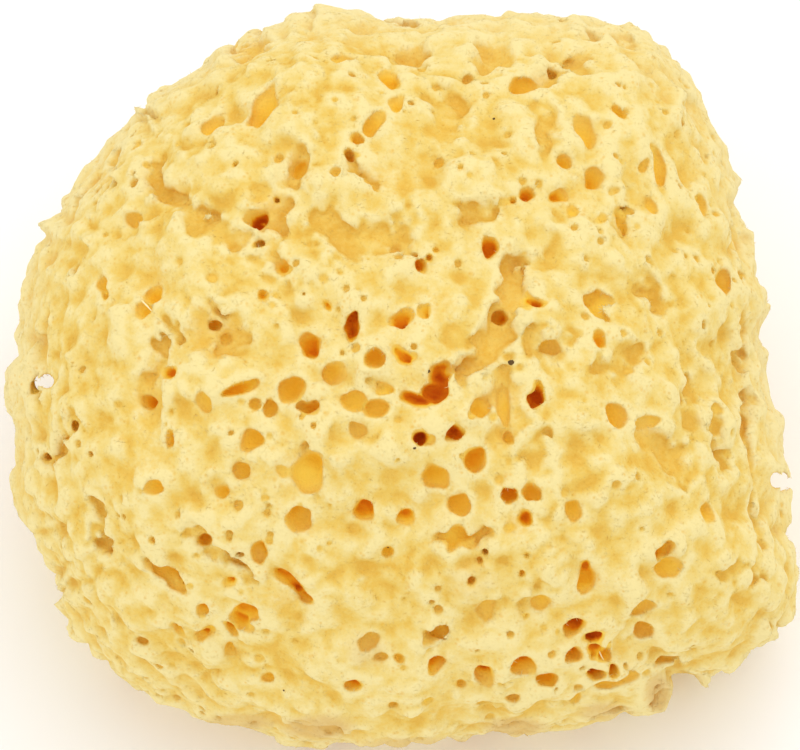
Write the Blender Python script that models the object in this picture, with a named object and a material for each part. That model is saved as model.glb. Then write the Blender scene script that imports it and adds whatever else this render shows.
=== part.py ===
"""A bleached honeycomb sea sponge, as sold for the bath: one lumpy dome, cut flat where it grew on the rock.

The body is an icosphere shaped by one function of direction. Its outline and its larger pores are those
that the photograph shows, read off by eye in the picture's own 800 x 750 pixels. The sides that the picture
doesn't show get pores of the same sizes, placed by a seeded rule. Metres, +Z up, the origin on the ground
under the middle of the box.
"""

import math
import random

import bmesh
import bpy
import numpy as np
from mathutils import Matrix, Vector

# The sponge's real size
WIDTH = 0.130
PICTURE_SPAN = 792
PIXEL = WIDTH / PICTURE_SPAN
MILLIMETRE = 0.001

# The face is the side turned to the picture. It looks up and to the front.
FACE_RISE = math.radians(60)
FACE_RIGHT = Vector((1, 0, 0))
FACE_UP = Vector((0, math.sin(FACE_RISE), math.cos(FACE_RISE)))
FACE_OUT = Vector((0, -math.cos(FACE_RISE), math.sin(FACE_RISE)))
EYE_DISTANCE = 0.70
SIGHT_ROUNDS = 8
PICTURE_MIDDLE = (400, 378)

# The body: how far it swells in front of and behind its widest section, and how square its curve is
MIDDLE = Vector((-0.00017, -0.00019, 0.0365))
FACE_REACH = 0.051
BACK_REACH = 0.056
SQUARENESS = 2.25
BODY_ROUNDS = 5
SHARP_ANGLE = math.radians(50)

# Broad swells, and the knobs that grow on them. Neither reaches the rim, where the outline gives the shape
SWELL_SEED = 7
SWELL_WAVES = 14
SWELL_HEIGHT = 0.0007
SWELL_TURNS = (4.0, 9.0)
KNOB_SEED = 11
KNOBS = 330
KNOB_HEIGHTS = (0.0006, 0.0024)
KNOB_RADIUS = 0.0055
KNOB_SCATTER = 0.06
GOLDEN_TURN = math.pi * (3 - math.sqrt(5))
RIM_BAND = 0.12
OUTLINE_BLUR = math.radians(3)
OUTLINE_STEPS = 180

# Furrows are no narrower than the body's faces can show
LEAST_FURROW = 0.0026

# Pores: shares of their half width outside the mouth and at the floor, and their lean to the line of sight
PORE_SIDES = 7
PORE_LIP = 1.25
PORE_FLOOR = 0.56
PORE_LEAD = 0.005
PORE_LEAN = 0.45
HIDDEN_SEED = 23
HIDDEN_PORE_RADIUS = (0.0016, 0.0026)
HIDDEN_PORE_DEPTH = (0.005, 0.010)
HIDDEN_PORE_GAP = 0.010

# The back starts this share behind the rim, and its pores stay this far off the ground
BACK_PORES = 40
BACK_START = 0.06
BACK_LOW = 0.010

# The foot's pores lie in a ring, clear of the middle that the sponge rests on
FOOT_PORES = 9
FOOT_RING = (0.012, 0.036)

SPONGE_COLOUR = (0.90, 0.68, 0.27, 1.0)
SPONGE_ROUGHNESS = 0.95

# The outline in the picture, clockwise from its right side: (across, down) in pixels
OUTLINE = [
    (767, 378), (783, 421), (792, 505), (784, 536), (797, 560), (796, 617), (779, 635), (757, 653),
    (716, 688), (671, 676), (669, 708), (650, 716), (600, 724), (543, 733), (512, 738), (489, 730),
    (450, 740), (400, 747), (339, 747), (291, 746), (260, 730), (224, 730), (187, 707), (155, 701),
    (94, 656), (75, 638), (71, 619), (53, 600), (68, 587), (60, 570), (37, 549), (29, 529), (10, 505),
    (15, 457), (3, 403), (5, 375), (14, 345), (19, 301), (33, 249), (37, 225), (60, 208), (69, 194),
    (120, 128), (131, 106), (147, 98), (182, 79), (212, 55), (258, 24), (276, 25), (309, 4), (357, 13),
    (438, 18), (522, 10), (568, 19), (630, 24), (670, 49), (691, 74), (714, 125), (738, 179), (732, 199),
    (757, 278), (773, 301), (762, 337),
]

# Pores of the face: across and down in pixels, half width, half height, clockwise turn in degrees, depth in mm
PORES = [
    # The middle, where the pores are round and deepest
    (309, 343, 13, 12, 0, 12), (351, 322, 8, 13, 20, 12), (372, 358, 10, 10, 0, 9),
    (401, 321, 10, 9, 0, 14), (422, 314, 9, 7, 20, 13), (441, 373, 11, 11, 0, 16),
    (435, 392, 11, 11, 0, 16), (413, 399, 14, 7, 8, 14), (333, 371, 11, 10, 0, 8),
    (293, 388, 11, 14, 20, 9), (271, 407, 9, 9, 0, 8), (308, 407, 10, 8, -30, 7), (352, 400, 13, 12, 0, 7),
    (376, 407, 12, 10, 0, 7), (480, 410, 11, 11, 0, 6), (420, 437, 8, 9, 0, 17), (457, 436, 11, 9, 0, 15),
    (476, 462, 11, 13, 0, 11), (436, 478, 12, 13, 0, 10), (458, 505, 11, 11, 0, 9), (511, 493, 9, 9, 0, 11),
    (534, 492, 9, 10, 0, 10), (526, 518, 8, 9, 0, 11), (364, 511, 11, 11, 0, 13), (405, 518, 8, 8, 0, 9),
    (298, 518, 14, 13, 0, 7), (308, 473, 17, 22, 0, 5), (464, 538, 30, 9, -5, 7), (536, 396, 8, 12, 0, 17),
    (499, 317, 9, 9, 0, 13), (575, 509, 9, 9, 0, 8),
    # The left
    (249, 441, 11, 11, 0, 11), (238, 472, 11, 10, 0, 10), (148, 402, 8, 7, 0, 9), (156, 490, 8, 10, 0, 7),
    (204, 402, 9, 11, 0, 5), (170, 370, 8, 7, 0, 9), (102, 283, 7, 9, 0, 7), (151, 293, 9, 8, 0, 9),
    (143, 310, 8, 9, 20, 7), (212, 324, 8, 7, 0, 8),
    # The top
    (489, 247, 9, 10, 0, 14), (418, 266, 7, 8, 0, 12), (525, 301, 10, 7, 0, 11), (527, 196, 9, 7, 0, 11),
    (559, 196, 10, 7, 0, 11), (573, 210, 8, 8, 0, 7), (594, 180, 11, 11, 0, 9), (566, 162, 8, 8, 20, 8),
    (586, 128, 9, 20, -20, 6), (525, 84, 16, 10, -25, 7), (256, 217, 11, 9, -25, 13),
    (133, 218, 11, 8, 5, 7), (264, 105, 13, 27, 20, 5), (212, 124, 7, 13, 15, 6), (375, 120, 8, 17, 30, 6),
    (299, 168, 8, 12, 30, 7), (391, 75, 8, 18, 0, 7), (397, 104, 7, 10, 0, 7), (282, 267, 7, 7, 0, 8),
    # The right
    (624, 222, 9, 24, -12, 9), (660, 165, 7, 22, -8, 6), (723, 281, 9, 13, 15, 6), (596, 303, 12, 12, 0, 6),
    (596, 338, 7, 9, 0, 8), (616, 416, 11, 12, 0, 5), (647, 421, 14, 7, -20, 5), (707, 513, 9, 9, 0, 6),
    (663, 551, 10, 9, 0, 10), (671, 569, 12, 12, 0, 7), (586, 582, 9, 14, 0, 9), (642, 610, 11, 11, 0, 8),
    (645, 630, 10, 9, 0, 6),
    # The bottom
    (574, 629, 9, 9, 0, 13), (574, 653, 11, 7, 0, 10), (596, 671, 7, 7, 0, 11), (617, 681, 24, 8, -15, 7),
    (525, 668, 13, 13, 0, 11), (545, 679, 11, 8, -30, 9), (484, 678, 10, 14, 0, 11),
    (437, 664, 8, 8, 0, 11), (438, 633, 13, 10, -30, 6), (487, 612, 8, 12, 0, 4), (352, 685, 9, 7, 0, 8),
    (367, 643, 10, 10, 0, 6), (260, 554, 7, 13, 20, 8), (291, 582, 7, 12, -45, 12),
    (305, 597, 11, 7, -5, 10), (246, 612, 12, 13, -20, 12), (203, 607, 7, 9, 0, 10),
    (170, 579, 12, 23, -45, 6), (204, 541, 7, 7, 0, 6),
]

# Furrows and hollows of the face: half width in pixels, depth in mm, then the points of its line in pixels
FURROWS = [
    (11, 3.4, [(515, 268), (505, 300), (497, 335), (480, 362), (455, 378)]),
    (13, 3.0, [(332, 222), (345, 245), (372, 240), (400, 232)]),
    (12, 2.6, [(150, 170), (165, 195), (195, 215), (225, 232), (262, 240)]),
    (14, 2.5, [(272, 212), (262, 222)]),
    (16, 2.5, [(444, 128), (442, 104)]),
    (18, 2.5, [(405, 55), (402, 66)]),
    (18, 2.5, [(499, 45), (500, 55)]),
    (13, 2.5, [(578, 60), (583, 70)]),
    (9, 2.0, [(595, 40), (625, 42)]),
    (10, 2.5, [(550, 70), (540, 78)]),
    (14, 2.5, [(548, 115), (546, 122)]),
    (10, 3.0, [(474, 208), (493, 210)]),
    (14, 2.5, [(405, 232), (404, 215)]),
    (17, 2.2, [(205, 325), (218, 332)]),
    (13, 2.5, [(150, 380), (156, 400)]),
    (9, 3.0, [(75, 424), (62, 440), (48, 458)]),
    (10, 2.0, [(33, 380), (36, 392)]),
    (8, 3.0, [(199, 538), (222, 552), (247, 566)]),
    (9, 2.5, [(99, 512), (101, 540)]),
    (13, 2.0, [(504, 380), (505, 430)]),
    (11, 2.0, [(540, 445), (538, 460)]),
    (15, 3.0, [(650, 440), (682, 460)]),
    (12, 2.5, [(684, 470), (688, 480)]),
    (7, 3.0, [(708, 410), (714, 445)]),
    (7, 2.5, [(722, 445), (726, 460)]),
    (10, 3.5, [(748, 400), (752, 450)]),
    (9, 3.0, [(754, 505), (758, 535)]),
    (9, 3.0, [(725, 562), (745, 572), (757, 578)]),
    (10, 2.5, [(650, 297), (655, 299)]),
    (14, 2.5, [(610, 362), (628, 357)]),
    (12, 2.5, [(556, 350), (560, 348)]),
    (10, 2.0, [(698, 145), (700, 150)]),
    (14, 2.0, [(737, 232), (736, 242)]),
    (10, 2.5, [(742, 335), (742, 350)]),
    (9, 2.0, [(688, 385), (689, 388)]),
    (16, 2.5, [(540, 595), (542, 604)]),
    (16, 2.8, [(300, 725), (335, 728)]),
    (10, 2.5, [(505, 726), (528, 724)]),
    (9, 3.0, [(592, 716), (618, 706)]),
    (9, 3.5, [(655, 685), (660, 700)]),
    (9, 2.0, [(117, 150), (107, 184)]),
    (9, 2.0, [(87, 190), (80, 205)]),
    (8, 2.5, [(69, 268), (70, 274)]),
    (9, 2.5, [(150, 345), (150, 360)]),
    (8, 3.0, [(349, 150), (352, 168), (372, 172)]),
    (10, 2.0, [(540, 330), (536, 345)]),
]


def outline_radii():
    """The smoothed outline's distance from the picture's middle at OUTLINE_STEPS even angles."""
    points = np.array(OUTLINE, float) - PICTURE_MIDDLE
    angles = np.arctan2(-points[:, 1], points[:, 0]) % math.tau
    order = np.argsort(angles)
    steps = np.arange(OUTLINE_STEPS) * math.tau / OUTLINE_STEPS
    reach = np.hypot(points[:, 0], points[:, 1])[order] * PIXEL
    even = np.interp(steps, angles[order], reach, period=math.tau)
    turn = (steps[:, None] - steps[None, :] + math.pi) % math.tau - math.pi
    weight = np.exp(-((turn / OUTLINE_BLUR) ** 2))
    return weight @ even / weight.sum(axis=1)


RIM_RADII = outline_radii()


def face_parts(directions):
    """Directions as their angle round the face's axis, their share across it and their share along it."""
    right = directions @ np.array(FACE_RIGHT)
    up = directions @ np.array(FACE_UP)
    out = directions @ np.array(FACE_OUT)
    return np.arctan2(up, right), np.hypot(right, up), out


def swell_heights(directions):
    """Broad swells: a seeded sum of slow waves over the sphere of directions."""
    rule = random.Random(SWELL_SEED)
    height = np.zeros(len(directions))
    for _ in range(SWELL_WAVES):
        wave = Vector([rule.gauss(0, 1) for _ in range(3)]).normalized() * rule.uniform(*SWELL_TURNS)
        height += SWELL_HEIGHT * np.sin(directions @ np.array(wave) + rule.uniform(0, math.tau))
    return height


def knob_heights(directions):
    """Rounded knobs with creases between them, scattered a little off an even spiral over the sphere."""
    rule = random.Random(KNOB_SEED)
    height = np.zeros(len(directions))
    for index in range(KNOBS):
        level = 1 - (2 * index + 1) / KNOBS
        turn = index * GOLDEN_TURN
        ring = math.sqrt(1 - level * level)
        top = Vector((ring * math.cos(turn), ring * math.sin(turn), level))
        top = (top + Vector([rule.gauss(0, KNOB_SCATTER) for _ in range(3)])).normalized()
        spread = WIDTH / 2 * np.linalg.norm(directions - np.array(top), axis=1)
        height = np.maximum(height, rule.uniform(*KNOB_HEIGHTS) * np.exp(-((spread / KNOB_RADIUS) ** 2)))
    return height


def body_radii(directions):
    """How far the body reaches from its middle in each direction, without furrows or pores."""
    angle, across, out = face_parts(directions)
    steps = np.arange(OUTLINE_STEPS) * math.tau / OUTLINE_STEPS
    rim = np.interp(angle, steps, RIM_RADII, period=math.tau)
    reach = np.where(out > 0, FACE_REACH, BACK_REACH)
    total = (across / rim) ** SQUARENESS + (np.abs(out) / reach) ** SQUARENESS
    away_from_rim = 1 - np.exp(-((out / RIM_BAND) ** 2))
    growth = swell_heights(directions) + knob_heights(directions)
    return total ** (-1 / SQUARENESS) + growth * away_from_rim


def on_face(across, down):
    """The point of the body that the picture shows at a pixel."""
    flat = np.array([across - PICTURE_MIDDLE[0], PICTURE_MIDDLE[1] - down]) * PIXEL
    height = 0.0
    for _ in range(SIGHT_ROUNDS):
        right, up = flat * (1 - height / EYE_DISTANCE)
        direction = FACE_RIGHT * right + FACE_UP * up + FACE_OUT * max(height, PIXEL)
        direction.normalize()
        radius = body_radii(np.array([direction]))[0]
        height = math.sqrt(max(radius**2 - right**2 - up**2, 0.0))
    return MIDDLE + direction * radius


def furrow_depths(points):
    """How deep the furrows cut in at each point of the body."""
    depths = np.zeros(len(points))
    for half_width, depth, line in FURROWS:
        stops = [np.array(on_face(*stop)) for stop in line]
        nearest = np.full(len(points), np.inf)
        for start, end in zip(stops, stops[1:]):
            along = np.clip((points - start) @ (end - start) / ((end - start) @ (end - start)), 0, 1)
            offset = points - start - along[:, None] * (end - start)
            nearest = np.minimum(nearest, np.linalg.norm(offset, axis=1))
        cut = depth * MILLIMETRE * np.exp(-((nearest / max(half_width * PIXEL, LEAST_FURROW)) ** 2))
        depths = np.maximum(depths, cut)
    return depths


def material(name, colour, roughness):
    """A plain finish."""
    made = bpy.data.materials.new(name)
    made.use_nodes = True
    shader = made.node_tree.nodes["Principled BSDF"]
    shader.inputs["Base Color"].default_value = colour
    shader.inputs["Roughness"].default_value = roughness
    return made


def add_object(name, mesh, collection):
    """A new object of this mesh in a collection."""
    made = bpy.data.objects.new(name, mesh)
    collection.objects.link(made)
    return made


def make_body(collection):
    """The dome with its lumps and furrows, cut off flat at the ground."""
    shape = bmesh.new()
    bmesh.ops.create_icosphere(shape, subdivisions=BODY_ROUNDS, radius=1)
    directions = np.array([vertex.co.normalized() for vertex in shape.verts])
    radii = body_radii(directions)
    points = np.array(MIDDLE) + directions * radii[:, None]
    points -= directions * furrow_depths(points)[:, None]
    for vertex, point in zip(shape.verts, points):
        vertex.co = point
    everything = [*shape.verts, *shape.edges, *shape.faces]
    bmesh.ops.bisect_plane(shape, geom=everything, plane_co=(0, 0, 0), plane_no=(0, 0, -1), clear_outer=True)
    rim = [edge for edge in shape.edges if edge.is_boundary]
    bmesh.ops.contextual_create(shape, geom=rim)
    bmesh.ops.recalc_face_normals(shape, faces=shape.faces)
    mesh = bpy.data.meshes.new("sponge")
    shape.to_mesh(mesh)
    shape.free()
    mesh.shade_smooth()
    mesh.set_sharp_from_angle(angle=SHARP_ANGLE)
    return add_object("sponge", mesh, collection)


def add_pore(shape, mouth, side_a, side_b, inward, depth):
    """Adds one pore's cutter: a tapering prism from outside its mouth to its floor."""
    length = PORE_LEAD + depth
    made = bmesh.ops.create_cone(
        shape, cap_ends=True, segments=PORE_SIDES, radius1=PORE_LIP, radius2=PORE_FLOOR, depth=1
    )
    centre = mouth + inward * (length / 2 - PORE_LEAD)
    columns = Matrix((side_a, side_b, inward * length)).transposed()
    bmesh.ops.transform(shape, matrix=Matrix.Translation(centre) @ columns.to_4x4(), verts=made["verts"])


def add_face_pores(shape):
    """The pores that the picture shows, each an ellipse there."""
    for across, down, half_width, half_height, turn, depth in PORES:
        mouth = on_face(across, down)
        inward = -((mouth - MIDDLE).normalized().lerp(FACE_OUT, PORE_LEAN)).normalized()
        angle = math.radians(-turn)
        side_a = (FACE_RIGHT * math.cos(angle) + FACE_UP * math.sin(angle)) * half_width * PIXEL
        side_b = (FACE_UP * math.cos(angle) - FACE_RIGHT * math.sin(angle)) * half_height * PIXEL
        add_pore(shape, mouth, side_a, side_b, inward, depth * MILLIMETRE)


def back_pores():
    """Pores of the sides that the picture doesn't show: (mouth, outward direction, radius, depth)."""
    rule = random.Random(HIDDEN_SEED)
    found = []
    while len(found) < BACK_PORES:
        direction = Vector([rule.gauss(0, 1) for _ in range(3)]).normalized()
        mouth = MIDDLE + direction * body_radii(np.array([direction]))[0]
        seen = direction.dot(FACE_OUT) > -BACK_START
        crowded = any((mouth - other[0]).length < HIDDEN_PORE_GAP for other in found)
        if seen or crowded or mouth.z < BACK_LOW:
            continue
        size = rule.uniform(*HIDDEN_PORE_RADIUS), rule.uniform(*HIDDEN_PORE_DEPTH)
        found.append((mouth, direction, *size))
    return found


def foot_pores():
    """Channels that the flat cut opened: (mouth, outward direction, radius, depth)."""
    rule = random.Random(HIDDEN_SEED + 1)
    inner, outer = FOOT_RING
    found = []
    while len(found) < FOOT_PORES:
        mouth = Vector((rule.uniform(-outer, outer), rule.uniform(-outer, outer), 0.0))
        crowded = any((mouth - other[0]).length < HIDDEN_PORE_GAP for other in found)
        if crowded or not inner < mouth.length < outer:
            continue
        size = rule.uniform(*HIDDEN_PORE_RADIUS), rule.uniform(*HIDDEN_PORE_DEPTH)
        found.append((mouth, Vector((0, 0, -1)), *size))
    return found


def add_hidden_pores(shape):
    """The pores of the back, the sides and the foot."""
    for mouth, outward, radius, depth in [*back_pores(), *foot_pores()]:
        side_a = outward.orthogonal().normalized() * radius
        side_b = outward.cross(side_a).normalized() * radius
        add_pore(shape, mouth, side_a, side_b, -outward, depth)


def cut_pores(sponge, collection):
    """Cuts every pore out of the sponge."""
    shape = bmesh.new()
    add_face_pores(shape)
    add_hidden_pores(shape)
    bmesh.ops.recalc_face_normals(shape, faces=shape.faces)
    mesh = bpy.data.meshes.new("pore_cutter")
    shape.to_mesh(mesh)
    shape.free()
    cutter = add_object("pore_cutter", mesh, collection)
    cutter.hide_render = True
    cutter.display_type = "WIRE"
    cut = sponge.modifiers.new("pores", "BOOLEAN")
    cut.operation = "DIFFERENCE"
    cut.solver = "EXACT"
    cut.use_self = True
    cut.object = cutter


def main():
    """Clears the scene and builds the sponge."""
    for old in list(bpy.data.objects):
        bpy.data.objects.remove(old)
    parts = bpy.data.collections.new("sea_sponge")
    cutters = bpy.data.collections.new("cutters")
    bpy.context.scene.collection.children.link(parts)
    bpy.context.scene.collection.children.link(cutters)
    sponge = make_body(parts)
    sponge.data.materials.append(material("bleached_sponge", SPONGE_COLOUR, SPONGE_ROUGHNESS))
    cut_pores(sponge, cutters)


main()
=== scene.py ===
"""A bleached honeycomb sea sponge at its real size, on a pale floor.

The skin is one surface, drawn where a field of distances passes through zero. The field starts as the dome of
the solid that it stands for. Furrows, pores and pinholes are then cut into it: on the face at the places that
the photograph shows, read off in its own 800 x 750 pixels, and elsewhere by seeded rules. The felt is
closed fibres rooted in the skin. Lengths are millimetres until a mesh is made, which is in metres.
"""

from __future__ import annotations

import logging
import math
import random
from collections.abc import Sequence
from dataclasses import dataclass, field
from enum import Enum

import bmesh
import bpy
import numpy as np
import openvdb
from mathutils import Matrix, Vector

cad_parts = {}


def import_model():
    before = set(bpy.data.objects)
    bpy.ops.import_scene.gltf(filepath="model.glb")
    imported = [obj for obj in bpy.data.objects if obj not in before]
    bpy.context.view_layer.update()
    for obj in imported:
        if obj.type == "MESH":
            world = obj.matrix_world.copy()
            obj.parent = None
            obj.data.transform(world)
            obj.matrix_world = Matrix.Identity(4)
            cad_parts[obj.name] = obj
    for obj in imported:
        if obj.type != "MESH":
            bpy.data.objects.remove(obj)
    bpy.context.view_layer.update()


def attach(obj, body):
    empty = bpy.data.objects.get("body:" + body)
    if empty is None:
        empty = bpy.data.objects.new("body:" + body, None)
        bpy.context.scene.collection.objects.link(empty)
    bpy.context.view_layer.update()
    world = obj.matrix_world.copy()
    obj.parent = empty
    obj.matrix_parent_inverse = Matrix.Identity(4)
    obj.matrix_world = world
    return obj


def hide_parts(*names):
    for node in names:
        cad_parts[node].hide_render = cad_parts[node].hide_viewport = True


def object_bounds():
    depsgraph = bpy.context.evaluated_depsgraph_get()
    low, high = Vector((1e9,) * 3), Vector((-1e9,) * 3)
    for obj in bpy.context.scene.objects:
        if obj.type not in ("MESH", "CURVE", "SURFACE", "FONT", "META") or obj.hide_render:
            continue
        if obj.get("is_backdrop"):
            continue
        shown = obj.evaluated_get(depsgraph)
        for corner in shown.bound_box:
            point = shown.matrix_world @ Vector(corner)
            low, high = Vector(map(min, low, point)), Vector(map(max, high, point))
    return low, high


log = logging.getLogger("sponge")

MM = 0.001
Array = np.ndarray
Window = tuple[slice, slice, slice]


class Side(Enum):
    """Where on the sponge something grows."""

    FACE = "face"
    BACK = "back"


@dataclass(frozen=True)
class Face:
    """The side that the photograph shows, and how the photograph's pixels lie on it."""

    rise: float = math.radians(60)
    eye_distance: float = 700.0
    picture_size: tuple[int, int] = (800, 750)
    picture_middle: tuple[float, float] = (400, 378)
    width: float = 130.0
    width_in_pixels: float = 792.0
    middle: tuple[float, float, float] = (-0.17, -0.19, 36.5)

    @property
    def pixel(self) -> float:
        """The size of a pixel at the sponge's middle."""
        return self.width / self.width_in_pixels

    @property
    def axes(self) -> Array:
        """Rows: the picture's right and up, and out towards the eye, in the sponge's own frame."""
        sine, cosine = math.sin(self.rise), math.cos(self.rise)
        return np.array([(1, 0, 0), (0, sine, cosine), (0, -cosine, sine)])

    def turned(self, world: Array) -> Array:
        """Points of the sponge's frame in face axes.

        Args:
            world: Points, one a row.

        Returns:
            The same points, measured from the middle along right, up and out.
        """
        return (world - np.array(self.middle)) @ self.axes.T

    def world(self, turned: Array) -> Array:
        """The reverse of turned()."""
        return turned @ self.axes + np.array(self.middle)

    def picture(self, turned: Array) -> tuple[Array, Array]:
        """Where points are seen in the photograph.

        Args:
            turned: Points in face axes, one a row.

        Returns:
            Their pixels from its left, and from its top.
        """
        scale = self.pixel * (1 - turned[:, 2] / self.eye_distance)
        return self.picture_middle[0] + turned[:, 0] / scale, self.picture_middle[1] - turned[:, 1] / scale


@dataclass(frozen=True)
class Pore:
    """A pore of the face: its place and half sizes in pixels, its depth in mm, and how torn its rim is."""

    across: float
    down: float
    half_width: float
    half_height: float
    turn: float
    depth: float
    torn: float = 0.0


@dataclass(frozen=True)
class Furrow:
    """A furrow or hollow of the face: half width in pixels, depth in mm, and its line in pixels."""

    half_width: float
    depth: float
    line: tuple[tuple[float, float], ...]


@dataclass(frozen=True)
class Patch:
    """A place of the face painted another colour: middle and half sizes in pixels, and how strong it is."""

    across: float
    down: float
    half_width: float
    half_height: float
    strength: float


OUTLINE: tuple[tuple[float, float], ...] = (
    (767, 378), (771, 403), (783, 421), (788, 460), (792, 505), (784, 536), (797, 555), (796, 617),
    (778, 628), (780, 642), (757, 653), (739, 665), (716, 688), (708, 676), (691, 672), (671, 676),
    (669, 708), (650, 716), (627, 713), (600, 724), (568, 730), (543, 733), (512, 738), (489, 730),
    (450, 740), (420, 746), (400, 747), (377, 742), (339, 747), (291, 746), (260, 730), (224, 730),
    (204, 722), (187, 707), (167, 700), (155, 701), (94, 656), (88, 642), (75, 638), (71, 619), (53, 606),
    (54, 591), (68, 587), (60, 570), (50, 571), (37, 549), (39, 532), (29, 529), (10, 505), (15, 457),
    (13, 426), (3, 403), (5, 375), (14, 357), (15, 334), (19, 301), (24, 268), (33, 249), (37, 225),
    (50, 234), (62, 213), (58, 202), (69, 194), (120, 128), (131, 106), (140, 118), (148, 112), (147, 98),
    (163, 84), (182, 79), (204, 66), (212, 55), (230, 44), (258, 24), (276, 25), (293, 10), (311, 3),
    (313, 14), (357, 13), (400, 14), (438, 18), (459, 13), (497, 14), (522, 10), (540, 12), (568, 19),
    (579, 15), (604, 22), (630, 24), (650, 33), (670, 49), (691, 74), (714, 125), (729, 156), (738, 179),
    (732, 199), (744, 225), (753, 247), (757, 278), (773, 301), (764, 319), (762, 337), (766, 375),
)

MIDDLE_PORES: tuple[Pore, ...] = (
    Pore(309, 343, 13, 12, 0, 12), Pore(351, 322, 8, 13, 20, 15, 0.6), Pore(372, 358, 10, 10, 0, 10),
    Pore(401, 321, 10, 9, 0, 16, 0.6), Pore(422, 314, 9, 7, 20, 13, 0.8), Pore(401, 357, 6, 11, -45, 16, 0.5),
    Pore(441, 373, 11, 12, 0, 17), Pore(435, 392, 11, 11, 0, 17), Pore(413, 399, 14, 7, 8, 14),
    Pore(384, 389, 10, 5, 10, 9, 0.5), Pore(333, 371, 11, 10, 0, 8), Pore(293, 388, 11, 14, 20, 8),
    Pore(271, 407, 9, 9, 0, 7), Pore(308, 407, 10, 8, -30, 8, 0.8), Pore(352, 400, 13, 12, 0, 6),
    Pore(376, 407, 12, 10, 0, 6), Pore(480, 410, 11, 11, 0, 8), Pore(420, 437, 8, 9, 0, 18),
    Pore(457, 436, 11, 9, 0, 15, 0.4), Pore(476, 462, 11, 13, 0, 11), Pore(436, 478, 12, 13, 0, 9),
    Pore(458, 505, 11, 11, 0, 8), Pore(511, 493, 9, 9, 0, 11), Pore(534, 492, 9, 10, 0, 9),
    Pore(526, 519, 8, 9, 0, 14), Pore(364, 511, 11, 11, 0, 15), Pore(405, 518, 8, 8, 0, 12),
    Pore(298, 518, 14, 13, 0, 7), Pore(308, 473, 17, 21, 0, 7), Pore(464, 538, 31, 9, -5, 6, 1.0),
    Pore(536, 396, 8, 12, 0, 17, 0.6), Pore(499, 317, 9, 9, 0, 10), Pore(487, 551, 4, 4, 0, 8),
    Pore(480, 562, 4, 4, 0, 8), Pore(471, 580, 4, 4, 0, 10), Pore(507, 439, 6, 7, 0, 6),
    Pore(388, 551, 6, 6, 0, 9), Pore(326, 305, 4, 4, 0, 12), Pore(575, 509, 9, 9, 0, 7),
    Pore(358, 431, 9, 8, 0, 3), Pore(306, 445, 4, 4, 0, 3), Pore(527, 554, 3, 3, 0, 5),
    Pore(522, 574, 3, 5, 0, 5), Pore(512, 528, 4, 4, 0, 7),
)

LEFT_PORES: tuple[Pore, ...] = (
    Pore(249, 441, 11, 11, 0, 11), Pore(238, 472, 11, 10, 0, 9), Pore(221, 494, 7, 6, 0, 7),
    Pore(172, 440, 5, 8, 10, 7), Pore(148, 402, 8, 7, 0, 5), Pore(156, 490, 8, 10, 0, 6),
    Pore(204, 402, 9, 11, 0, 5), Pore(241, 388, 6, 18, 70, 7), Pore(253, 405, 7, 6, 0, 7),
    Pore(170, 370, 8, 7, 0, 12), Pore(102, 283, 7, 9, 0, 7), Pore(106, 294, 4, 5, 0, 8),
    Pore(151, 293, 9, 9, 0, 9), Pore(143, 310, 8, 9, 20, 7), Pore(212, 324, 8, 7, 0, 7),
    Pore(223, 338, 7, 6, 0, 8), Pore(265, 295, 5, 5, 0, 7), Pore(283, 469, 8, 7, 0, 3),
    Pore(48, 458, 5, 5, 0, 4), Pore(75, 425, 5, 6, 0, 4), Pore(33, 386, 7, 8, 0, 4),
)

TOP_PORES: tuple[Pore, ...] = (
    Pore(489, 247, 9, 10, 0, 14), Pore(418, 266, 7, 8, 0, 14, 0.5), Pore(430, 256, 4, 4, 0, 11),
    Pore(435, 247, 3, 3, 0, 9), Pore(525, 301, 10, 7, 0, 12, 0.6), Pore(539, 301, 8, 5, -10, 10, 0.5),
    Pore(527, 196, 9, 7, 0, 11), Pore(511, 199, 4, 3, 0, 8), Pore(559, 196, 10, 7, 0, 11),
    Pore(573, 210, 7, 6, 0, 8), Pore(594, 180, 10, 11, 0, 8), Pore(566, 162, 8, 7, 20, 7),
    Pore(586, 128, 9, 19, -20, 5), Pore(525, 84, 16, 10, -25, 6), Pore(553, 74, 5, 5, 0, 4),
    Pore(617, 112, 4, 8, -55, 4), Pore(256, 217, 11, 8, -35, 9), Pore(275, 200, 3, 3, 0, 4),
    Pore(133, 218, 11, 8, 5, 6), Pore(264, 105, 12, 26, 20, 5), Pore(212, 124, 7, 13, 15, 5),
    Pore(184, 203, 3, 5, 0, 8), Pore(177, 201, 3, 3, 0, 5), Pore(357, 138, 6, 6, 0, 8),
    Pore(350, 156, 5, 6, 0, 6), Pore(369, 180, 5, 5, 0, 9), Pore(375, 120, 8, 17, 30, 5),
    Pore(299, 168, 8, 12, 30, 3), Pore(276, 158, 6, 5, 0, 5), Pore(391, 75, 8, 18, 0, 8),
    Pore(397, 104, 7, 10, 0, 6), Pore(282, 267, 7, 7, 0, 8), Pore(259, 243, 5, 5, 0, 5),
    Pore(273, 253, 4, 4, 0, 8), Pore(465, 79, 6, 5, 0, 3), Pore(425, 68, 5, 5, 0, 3),
    Pore(344, 59, 10, 8, 0, 3), Pore(436, 161, 5, 5, 0, 4), Pore(236, 167, 3, 3, 0, 5),
)

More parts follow.
